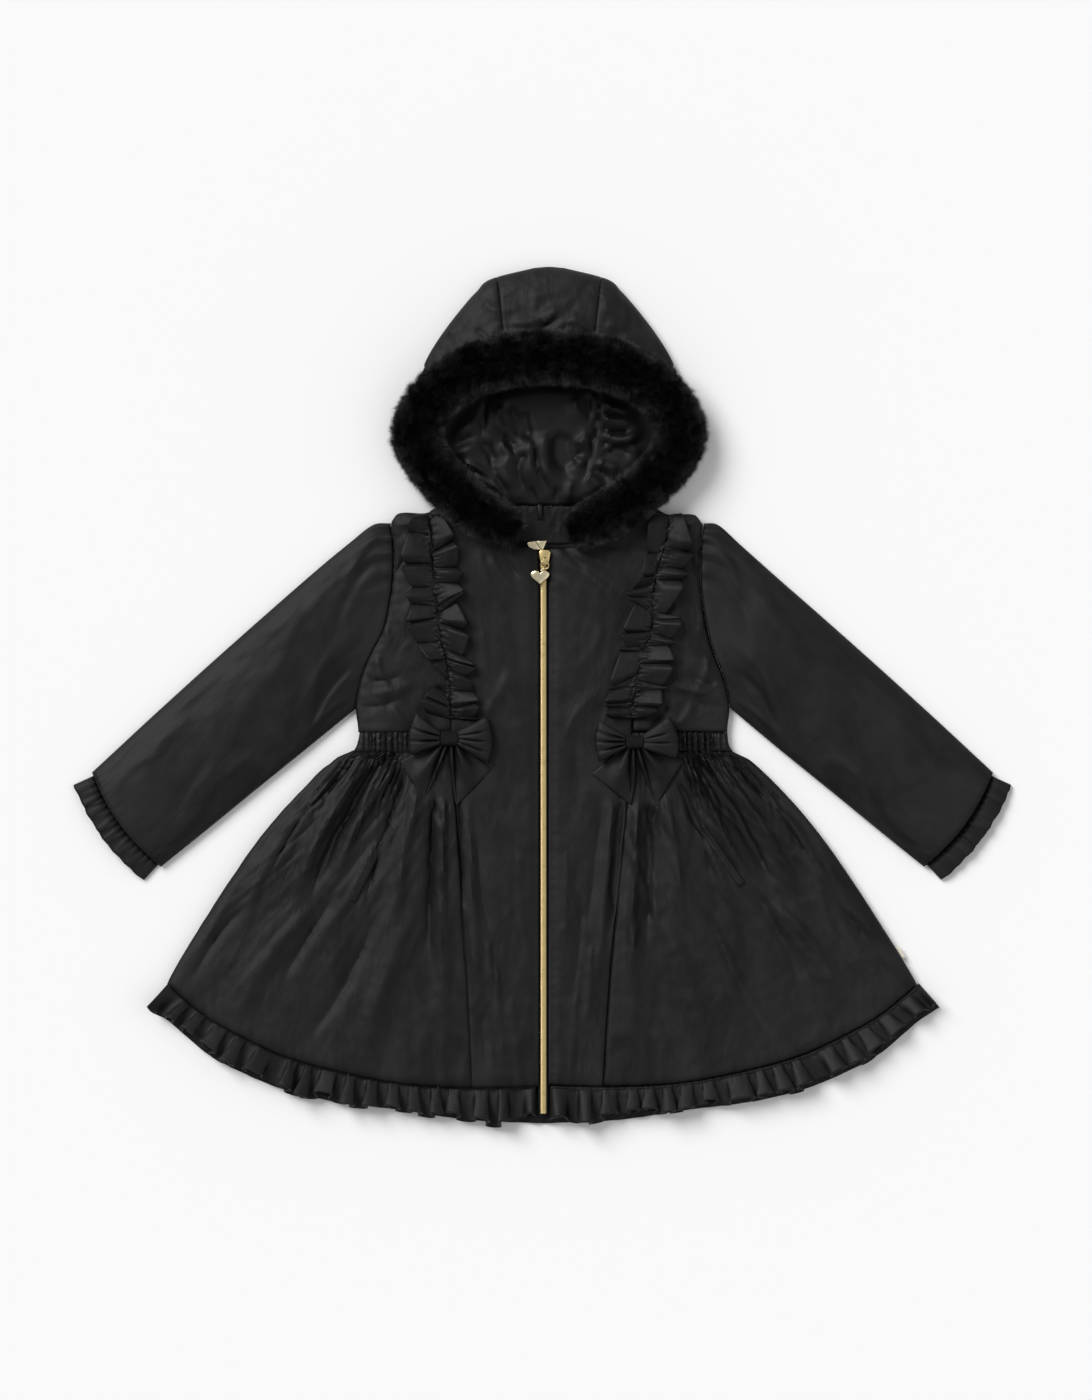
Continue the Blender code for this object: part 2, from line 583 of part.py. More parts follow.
def make_hem_ruffles(finish):
    for side in ("l", "r"):
        def wall(u, v, inside):
            phase = 2 * math.pi * HEM_WAVES * u + 0.8 * math.sin(5 * u + (0 if side == "l" else 2))
            wave = 0.5 - 0.5 * math.cos(phase)
            jitter = noise.noise((u * 14, v, 3.1 if side == "l" else 8.7))
            at = hem_place(side, u + 0.006 * v * math.sin(2 * phase) * min(1, 8 * u, 8 * (1 - u)), v,
                           0.97 + 0.1 * jitter - 0.05 * wave)
            low = FRONT_UNDER + 0.2
            z = low + (1.2 + (1.5 + HEM_RISE * (1 + 0.5 * jitter) * v) * wave) * smooth(u * 60 + 0.3)
            return at.x, at.y, z + (0.0 if inside else WALL)

        cloth(f"hem_ruffle_{side}", 72, 2, lambda u, v: wall(u, v, False),
              lambda u, v: wall(u, v, True), finish)

    def back(u, v, inside):
        side = "l" if u < 0.5 else "r"
        s = abs(2 * u - 1)
        phase = 2 * math.pi * BACK_HEM_WAVES * s
        wave = max(0.0, 0.25 - 0.75 * math.cos(phase))
        d = lerp(0.0, 376.0, s)
        out = sign(side)
        seam = Vector((ZIP_X + out * d, read(HEM_LINE, d, 1) - 2 * SEAM))
        edge = Vector((ZIP_X + out * (d + 21.0 * smooth((d - 120) / 240)), 0))
        edge.y = read(HEM_LINE, abs(edge.x - ZIP_X), 2)
        at = seam.lerp(edge, v)
        z = 3.6 * wave * v
        return at.x, at.y, z + (0.0 if inside else WALL)

    cloth("hem_ruffle_back", 102, 1, lambda u, v: back(u, v, False), lambda u, v: back(u, v, True),
          finish)


# Chest ruffles and bows

def make_chest_ruffles(finish):
    """A strip gathered down its middle, whose two edges stand in uneven folds on the front."""
    for side in ("l", "r"):
        column = 1 if side == "l" else 2
        top, bottom = CHEST_LINE[0][0] - 2.0, CHEST_LINE[-1][0]

        def wall(u, v, inside):
            y = lerp(bottom, top, v)
            across = 2 * u - 1
            spread = abs(across)
            edge = 0 if across < 0 else 1
            seed = {"l": 11.0, "r": 23.0}[side] + 5 * edge
            phase = 2 * math.pi * CHEST_FOLDS * v + 1.9 * edge + 1.3 * noise.noise((v * 6, seed, 0))
            wave = 0.5 - 0.5 * math.cos(phase)
            reach = read(CHEST_LINE, y, 3 if across < 0 else 4)
            reach *= 1 + 0.22 * noise.noise((v * 13, seed, 4)) - 0.1 * wave
            x = read(CHEST_LINE, y, column) + across * reach
            swing = 0.9 * spread * math.sin(2 * phase + 0.6 * edge) * min(1.0, 9 * v, 9 * (1 - v))
            y += swing
            base = front_height(side, x, min(y, neck_y(x) - 0.5)) + LAY + 0.1
            z = base + (1.2 + CHEST_RISE * spread ** 0.7) * wave * (0.35 + 0.65 * spread)
            return x, y, z + (0.0 if inside else WALL)

        cloth(f"chest_ruffle_{side}", 4, 48, lambda u, v: wall(u, v, False),
              lambda u, v: wall(u, v, True), finish)


def make_bows(finish):
    """A tied bow at each side of the waist: two flattened loops, two pointed tails and the knot."""
    for side, rows in BOWS.items():
        cx, cy, knot_width, knot_height = rows["knot"]
        middle = Vector((cx, cy))
        for end in ("l", "r"):
            out = sign(end)
            upper, lower = (Vector(p) for p in rows[f"loop_{end}"])

            def loop(u, v, inside):
                turn = 2 * v - 1  # from the knot under the loop, round its end, to the knot on top
                reach = 1 - abs(turn) ** 1.6
                root = Vector((out * (knot_width / 2 + LAY), lerp(KNOT_HALF - 1, 1 - KNOT_HALF, u)))
                side_bow = 6.0 * math.sin(math.pi * u)
                tip = upper.lerp(lower, u) + Vector((out * side_bow, 0))
                inset = LOOP_WALL if inside else 0.0
                at = root.lerp(tip, max(0.0, reach - (inset / tip.length if reach > 0.5 else 0.0)))
                lift = math.sin(math.pi * min(1.0, reach) * 0.5)
                pleat = 0.9 * math.cos(2 * math.pi * 2.5 * u + 0.8) * math.sin(math.pi * reach)
                half = LOOP_DEPTH / 2 * (0.72 + 0.28 * lift)
                half -= LOOP_WALL if inside else 0.0
                rim = math.sqrt(max(0.0, 1 - abs(1 - min(1.0, abs(turn) * 3.2)) ** 2))
                z = BOW_BASE + LOOP_DEPTH / 2 + math.copysign(half * rim, turn)
                z += pleat if turn > 0 else 0.0
                return middle.x + at.x, middle.y + at.y, z

            cloth(f"bow_{side}_loop_{end}", 6, 9, lambda u, v: loop(u, v, False),
                  lambda u, v: loop(u, v, True), finish)
            corner_a, tip, corner_b = (Vector(p) for p in rows[f"tail_{end}"])

            def tail(u, v, inside):
                root = Vector((out * 3.2 + lerp(-2.6, 2.6, u), -2.0))
                a, b = (corner_a, corner_b)
                far = a.lerp(tip, u * 2) if u < 0.5 else tip.lerp(b, u * 2 - 1)
                at = root.lerp(far, v)
                fold = (0.5 - 0.5 * math.cos(4 * math.pi * u)) * math.sin(math.pi * min(1, 0.15 + v))
                z = TAIL_BASE + 2.2 * max(0.0, fold) * min(1.0, 1.3 * v)
                return middle.x + at.x, middle.y + at.y, z + (0.0 if inside else WALL)

            cloth(f"bow_{side}_tail_{end}", 6, 4, lambda u, v: tail(u, v, False),
                  lambda u, v: tail(u, v, True), finish)

        def knot(u, v):
            turn = 2 * math.pi * u
            cosine, sine = math.cos(turn), math.sin(turn)
            across = math.copysign(abs(cosine) ** 0.5, cosine)
            up = math.copysign(abs(sine) ** 0.5, sine)
            bulge = 1 - 0.12 * (2 * v - 1) ** 2
            return (middle.x + lerp(-0.5, 0.5, v) * knot_width,
                    middle.y + across * knot_height / 2 * bulge,
                    BOW_BASE + LOOP_DEPTH / 2 + up * (LOOP_DEPTH / 2 + KNOT_PROUD) * bulge)

        roll(f"bow_{side}_knot", 12, 3, knot, finish)


# Hood

def hood_half(y):
    return read(HOOD_OUTLINE, y, 1)


def fur_at(s):
    """Middle of the fur roll and its half width and half height, s from the left end (0) over the top
    to the right end (1)."""
    rows = [(n / (len(FUR_LINE) - 1), *row) for n, row in enumerate(FUR_LINE)]
    t = abs(2 * s - 1)
    x, y, z, wide, high = (read(rows, t, c) for c in (1, 2, 3, 4, 5))
    shift = FUR_END_SHIFT * smooth((t - 0.5) / 0.5)
    return Vector((HOOD_X + shift + math.copysign(x, s - 0.5), y, z)), wide, high


def make_fur(finish):
    def surface(u, v):
        middle, wide, high = fur_at(v)
        ahead = (fur_at(min(1.0, v + 0.01))[0] - fur_at(max(0.0, v - 0.01))[0]).normalized()
        across = Vector((ahead.y, -ahead.x, 0)).normalized()
        ends = math.sqrt(1 - max(0.0, abs(2 * v - 1) * 1.06 - 0.06) ** 12 * 0.75)
        turn = 2 * math.pi * u
        at = middle + across * wide * ends * math.cos(turn)
        return at.x, at.y, middle.z + high * ends * math.sin(turn)

    roll("fur_trim", 12, 38, surface, finish)


def make_hood(finish, satin):
    # The lower layer, whose underside lies on the surface, and the satin on it
    place = strip(lambda y: HOOD_X - hood_half(y), lambda y: HOOD_X + hood_half(y),
                  lambda x: HOOD_FOOT, lambda x: crown_top(x))

    def hood_back_height(x, y):
        inset = min(hood_half(y) - abs(x - HOOD_X), crown_top(x) - y)
        return rounded(inset, BACK_TOP, 5.6, 8.0)

    slab("hood_back", place, 12, 8, hood_back_height, level(0), finish, 0)

    def lining_half(y):
        return hood_half(y) - lerp(9.0, LINING_INSET, smooth((y - 300.0) / 25.0))

    inside = strip(lambda y: HOOD_X - lining_half(y), lambda y: HOOD_X + lining_half(y),
                   lambda x: HOOD_FOOT + 1, lambda x: crown_top(x) - LINING_INSET)

    def lining_height(x, y):
        clear = 1 - smooth((math.hypot((x - HOOD_X) / 88, (y - 258) / 56) - 0.7) / 0.3)
        return LINING_TOP + clear * max(0.0, folds_at(x, y, "m", LINING_FOLDS))

    slab("hood_lining", inside, 20, 9, lining_height, level(FRONT_UNDER), satin, FRONT_UNDER)

    # The crown, from the fold at the top of the head down to the fur
    def brim(s):
        """Under the middle of the fur roll, s from the left side to the right."""
        low, high = 0.335, 0.665
        middle, _, half = fur_at(lerp(low, high, s))
        return middle.x, middle.y, middle.z - half - 0.5

    def rim(s):
        """The outline of the hood, s from the left side to the right."""
        angle = lerp(math.pi, 0, s)
        y = CROWN_END + (428.0 - CROWN_END) * math.sin(angle) ** 0.9
        x = HOOD_X + math.copysign(min(hood_half(y), 130.0), math.cos(angle)) if s != 0.5 else HOOD_X
        x = HOOD_X + (x - HOOD_X) * min(1.0, abs(math.cos(angle)) * 6 + 0.0) if y > 425 else x
        return x, y

    def crown(u, v, inner, first, last):
        """u across a crown panel between two places along the rim, v from the rim to the brim."""
        s = lerp(first, last, u)
        rx, ry = rim(s)
        bx, by, bz = brim(s)
        t = v ** 1.4
        x, y = lerp(rx, bx, t), lerp(ry, by, t)
        low = FRONT_UNDER
        z = low + 1.2 + (bz - low - 1.2) * math.sqrt(1 - (1 - t) ** 2) ** 0.9
        if inner:
            z = max(low, z - CROWN_WALL)
            inset = 3.0 * (1 - v)
            x += math.copysign(inset, bx - rx) if abs(bx - rx) > 1 else 0.0
            y -= inset * 0.5
        return x, y, z

    shares = {"hood_side_l": (0.0, 0.345), "hood_centre": (0.345, 0.655), "hood_side_r": (0.655, 1.0)}
    for name, (first, last) in shares.items():
        a = first + 0.0008 if first > 0 else first
        b = last - 0.0008 if last < 1 else last
        cloth(name, 7, 7, lambda u, v: crown(u, v, False, a, b),
              lambda u, v: crown(u, v, True, a, b), finish)


def crown_top(x):
    """Upper edge of the hood's outline for x."""
    d = min(abs(x - HOOD_X), 130.0)
    low, high = 290.0, 428.0
    for _ in range(24):
        y = (low + high) / 2
        if hood_half(y) > d:
            low = y
        else:
            high = y
    return low


# Neck facing, hanger loop, side tab and pocket welts

def make_trims(finish, satin, tab):
    facing = ((-34, 158.0), (-22, 152.5), (36, 152.5), (46, 158.5), (52, 189.5), (-40, 189.5))
    plate("neck_facing", facing, FRONT_UNDER, LINING_TOP, satin)

    def hanger(u, v, inside):
        lift = 3.2 * math.sin(math.pi * v) ** 0.6
        z = LINING_TOP + LAY + lift
        return lerp(-5.0, 0.0, u), lerp(176.0, 193.0, v), z + (0.0 if inside else 1.2)

    cloth("hanger_loop", 1, 6, lambda u, v: hanger(u, v, False), lambda u, v: hanger(u, v, True), tab)

    for side, (x0, y0, x1, y1) in POCKETS.items():
        def welt(u, v, inside):
            run = Vector((x1 - x0, y1 - y0)).normalized()
            at = Vector((lerp(x0, x1, v), lerp(y0, y1, v))) + Vector((-run.y, run.x)) * lerp(-3.5, 3.5, u)
            near = [skirt_height(side, at.x + dx, at.y + dy) for dx in (-6, 0, 6) for dy in (-9, 0, 9)]
            return at.x, at.y, max(near) + LAY + (0.0 if inside else WALL)

        cloth(f"pocket_welt_{side}", 1, 6, lambda u, v: welt(u, v, False),
              lambda u, v: welt(u, v, True), finish)

    label = ((side_x("r", -251.5) + 0.4, -251.5), (side_x("r", -262) + 0.4, -262.0),
             (side_x("r", -262) + 4.4, -262.0), (side_x("r", -251.5) + 4.4, -251.5))
    plate("side_tab", label, 4.6, 6.0, tab)


# Zip

def make_zip(tape, gold):
    low = FRONT_UNDER
    for side in ("l", "r"):
        out = sign(side)
        inner, outer = sorted((ZIP_X + out * SEAM, ZIP_X + out * TAPE_HALF))
        plate(f"zip_tape_{side}", box(inner, outer, ZIP_END, ZIP_TOP + 14), low, low + 2.2, tape)
    chain_low = low + 2.2 + 0.3
    plate("zip_chain", box(ZIP_X - CHAIN_HALF, ZIP_X + CHAIN_HALF, ZIP_END + 1, ZIP_TOP + 9),
          chain_low, chain_low + 3.6, gold, 1.0)
    x, y, wide, long = SLIDER
    shape = ((-0.55, -1.0), (0.55, -1.0), (0.8, -0.2), (1.0, 0.7), (0.7, 1.0), (-0.7, 1.0),
             (-1.0, 0.7), (-0.8, -0.2))
    body = [(x + wide / 2 * a, y + long / 2 * b) for a, b in shape]
    slider = plate("zip_slider", body, chain_low + 3.9, SLIDER_TOP, gold, 0.6)
    start, end, width, top = BAIL
    foot = SLIDER_TOP - 0.4
    arch = [(start, foot), (start, top - 1.2), (start + 1.2, top), (end - 1.2, top), (end, top - 1.2),
            (end, foot), (end - BAIL_WALL, foot), (end - BAIL_WALL, top - BAIL_WALL),
            (start + BAIL_WALL, top - BAIL_WALL), (start + BAIL_WALL, foot)]
    unite(slider, upright("bail", arch, x - width / 2, x + width / 2, gold))
    for side, wing in ZIP_WINGS.items():
        plate(f"zip_top_{side}", wing, chain_low + 5.2, chain_low + 6.4, gold)


def upright(name, outline, x0, x1, finish):
    """A plate of the given outline in y and z, standing along the closing line."""
    mesh = bmesh.new()
    face = mesh.faces.new([mesh.verts.new((x0 * MM, y * MM, z * MM)) for y, z in outline])
    made = bmesh.ops.extrude_face_region(mesh, geom=[face])
    far = [v for v in made["geom"] if isinstance(v, bmesh.types.BMVert)]
    bmesh.ops.translate(mesh, verts=far, vec=((x1 - x0) * MM, 0, 0))
    return as_object(mesh, name, finish)


def unite(piece, extra):
    """Joins another shape to a piece, so that they are one solid."""
    extra.hide_render = True
    extra.display_type = "WIRE"
    join = piece.modifiers.new("join", "BOOLEAN")
    join.operation = "UNION"
    join.solver = "EXACT"
    join.object = extra


def ring(name, round_wire, round_ring, surface, finish):
    """A closed ring: surface gives x y z at u round its wire and v round the ring."""
    mesh = bmesh.new()
    bmesh.ops.create_grid(mesh, x_segments=round_wire, y_segments=round_ring, size=0.5)
    for v in mesh.verts:
        v.co = Vector(surface(v.co.x + 0.5, v.co.y + 0.5)) * MM
    bmesh.ops.remove_doubles(mesh, verts=mesh.verts[:], dist=1e-7)
    return as_object(mesh, name, finish)


def hang_on(piece, y, z):
    """Puts a moving piece's origin on its hinge."""
    pivot = Vector((ZIP_X, y, z)) * MM
    piece.data.transform(Matrix.Translation(-pivot))
    piece.location = pivot


def make_pull(gold):
    """The link through the slider's bail, and the heart that hangs on the link."""
    (top_y, top_z), (low_y, low_z) = PULL_AXIS, HEART_AXIS
    middle_x = SLIDER[0]
    middle = Vector((middle_x, (top_y + low_y) / 2, (top_z + low_z) / 2))
    along = Vector((0, low_y - top_y, low_z - top_z))
    out = along.cross(Vector((1, 0, 0))).normalized()

    def link(u, v):
        turn = 2 * math.pi * v
        c, n = math.cos(turn), math.sin(turn)
        # A ring with straight bars at its two ends, where it passes through the bail and the eye
        direction = Vector((math.copysign(abs(n) ** 0.6, n) * LINK_WIDTH / 2, 0, 0))
        direction += along / 2 * math.copysign(abs(c) ** 0.6, c)
        outwards = Vector((n * LINK_WIDTH / 2, 0, 0)) + along.normalized() * c * along.length / 2
        wire = 2 * math.pi * u
        at = middle + direction + LINK_WIRE * (math.cos(wire) * outwards.normalized() + math.sin(wire) * out)
        return at

    hang_on(ring("pull_link", 6, 16, link, gold), top_y, top_z)

    width, height, low, high = HEART
    hole, rim, eye_width = EYE
    points = 26
    outline = []
    for n in range(points):
        a = 2 * math.pi * (n + 0.5) / points
        x = math.sin(a) ** 3
        y = (13 * math.cos(a) - 5 * math.cos(2 * a) - 2 * math.cos(3 * a) - math.cos(4 * a)) / 16
        outline.append((HEART_X + x * width / 2, low_y - rim - 1.6 + (y - 0.5) * height / 1.75))
    heart = pillow("pull_heart", outline[::-1], low, high, gold)

    def eye(u, v):
        turn = 2 * math.pi * v
        corner = (int(round(u * 4)) % 4)
        radius = (hole, rim, rim, hole)[corner]
        x = HEART_X + 3.5 + eye_width / 2 * (-1, -1, 1, 1)[corner]
        return x, low_y + radius * math.cos(turn), low_z + radius * math.sin(turn)

    unite(heart, ring("eye", 4, 14, eye, gold))
    hang_on(heart, low_y, low_z)


def main():
    for old in list(bpy.data.objects):
        bpy.data.objects.remove(old, do_unlink=True)
    finish = make_materials()
    make_panels(finish["taffeta"])
    make_sleeves(finish["taffeta"])
    make_cuff_ruffles(finish["taffeta"])
    make_hem_ruffles(finish["taffeta"])
    make_chest_ruffles(finish["taffeta"])
    make_bows(finish["taffeta"])
    make_hood(finish["taffeta"], finish["lining"])
    make_fur(finish["fur"])
    make_trims(finish["taffeta"], finish["lining"], finish["tab"])
    make_zip(finish["tape"], finish["gold"])
    make_pull(finish["gold"])


main()
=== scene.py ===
"""Looks of a child's black hooded party coat that lies flat on its back.

Places are in the coat's own frame, in millimetres unless a name says otherwise: x to the right,
y towards the hood, z up from the surface that the coat lies on.
"""

import math

import bmesh
import bpy
import numpy as np
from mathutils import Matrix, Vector


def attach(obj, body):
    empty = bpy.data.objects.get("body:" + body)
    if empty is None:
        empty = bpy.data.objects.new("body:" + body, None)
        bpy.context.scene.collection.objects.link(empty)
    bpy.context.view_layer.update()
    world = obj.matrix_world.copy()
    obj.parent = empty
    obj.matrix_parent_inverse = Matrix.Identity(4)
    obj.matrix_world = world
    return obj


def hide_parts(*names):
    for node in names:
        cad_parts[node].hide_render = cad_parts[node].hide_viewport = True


bl_info = {
    "name": "Hooded party coat",
    "version": (1, 0, 0),
    "blender": (4, 5, 0),
    "location": "View3D > Sidebar > Coat",
    "description": "Builds the cloth, fur, zip and stitching of a child's coat laid flat",
    "category": "Object",
}

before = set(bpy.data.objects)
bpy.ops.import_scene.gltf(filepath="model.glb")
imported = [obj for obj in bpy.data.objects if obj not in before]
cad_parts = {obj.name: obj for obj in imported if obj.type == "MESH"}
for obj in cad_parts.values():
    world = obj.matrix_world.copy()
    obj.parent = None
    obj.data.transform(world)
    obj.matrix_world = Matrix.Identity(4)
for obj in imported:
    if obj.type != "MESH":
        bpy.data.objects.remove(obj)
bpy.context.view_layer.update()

MM = 0.001
SIDES = ("l", "r")

# Heights above the surface
BACK_TOP = 6.0
FRONT_UNDER = 6.3
FRONT_TOP = 14.0
SIDE_EDGE = 9.0
HEM_EDGE = 11.5
ZIP_EDGE = 12.0
ROUNDING = 26.0

# The closing line
ZIP_X = 1.0
TAPE_HALF = 4.7
CHAIN_HALF = 3.05
ZIP_TOP = 131.0
ZIP_END = -420.0
CHAIN_LOW = 8.8
CHAIN_HIGH = 12.4
TOOTH_PITCH = 2.5

TAB_ENDS = (-262.0, -251.5)
CASING_TOP = -36.0
CASING_END = -56.0
SEAM_GAP = 0.15

# Side seam and armhole: y, left edge x, right edge x
SIDE_SEAM = (
    (190, -149.0, 158.5), (172, -151.0, 160.5), (150, -148.5, 158.0), (121, -148.5, 157.5),
    (96, -152.0, 159.5), (67, -158.0, 164.5), (46, -169.0, 170.0), (20, -180.0, 180.5),
    (-11, -185.5, 187.0), (-36, -183.0, 185.0), (-55, -189.0, 190.0), (-64, -207.5, 207.5),
    (-104, -248.5, 248.5), (-144, -282.5, 281.5), (-184, -310.5, 309.5), (-224, -336.5, 335.5),
    (-264, -361.0, 360.5), (-290, -375.0, 375.0), (-340, -392.0, 392.0), (-400, -402.0, 402.0),
)
# Seam between centre front and side front: y, left x, right x
FRONT_SEAM = (
    (190, -112.0, 128.0), (149, -110.0, 119.5), (114, -107.5, 111.5), (57, -101.0, 105.0),
    (22, -95.5, 98.5), (-14, -91.5, 90.5), (-60, -92.0, 90.5), (-109, -88.0, 84.5),
    (-212, -80.5, 74.0), (-295, -75.0, 66.5), (-391, -70.5, 60.5),
)
# Neck and shoulder line: distance from the middle of the shoulders, y
SHOULDER_MIDDLE = 4.5
NECK_LINE = (
    (0, 149.0), (30, 150.5), (55, 160.0), (80, 177.0), (96, 189.0), (108, 188.0), (121, 181.5),
    (148, 181.0), (157, 171.0), (170, 170.0),
)
# Hem: distance from the closing line, seam y, edge y of the ruffle
HEM_LINE = (
    (0, -389.5, -428.0), (75, -391.0, -424.5), (140, -387.0, -415.0), (210, -373.5, -406.0),
    (260, -359.0, -394.0), (300, -340.5, -378.0), (337, -319.5, -358.0), (375, -288.5, -326.0),
    (396, -270.0, -312.0),
)
# Sleeve: place along it, upper edge x y, lower edge x y
SLEEVE = (
    (0.00, -153.0, 173.0, -186.2, -12.0), (0.06, -170.0, 171.5, -202.0, -25.0),
    (0.13, -192.0, 154.5, -218.0, -38.0), (0.25, -228.0, 124.5, -242.0, -57.5),
    (0.50, -310.0, 52.5, -289.0, -95.5), (0.75, -382.0, -12.5, -336.0, -134.0),
    (1.00, -451.0, -76.5, -382.0, -171.0),
)
CUFF_BULGE = 7.5
CUFF_RUFFLE = 22.0
HEM_WAVES = 17.5
BACK_HEM_WAVES = 17
HEM_REACH = 376.0
CUFF_WAVES = 8
HEM_RISE = 13.0

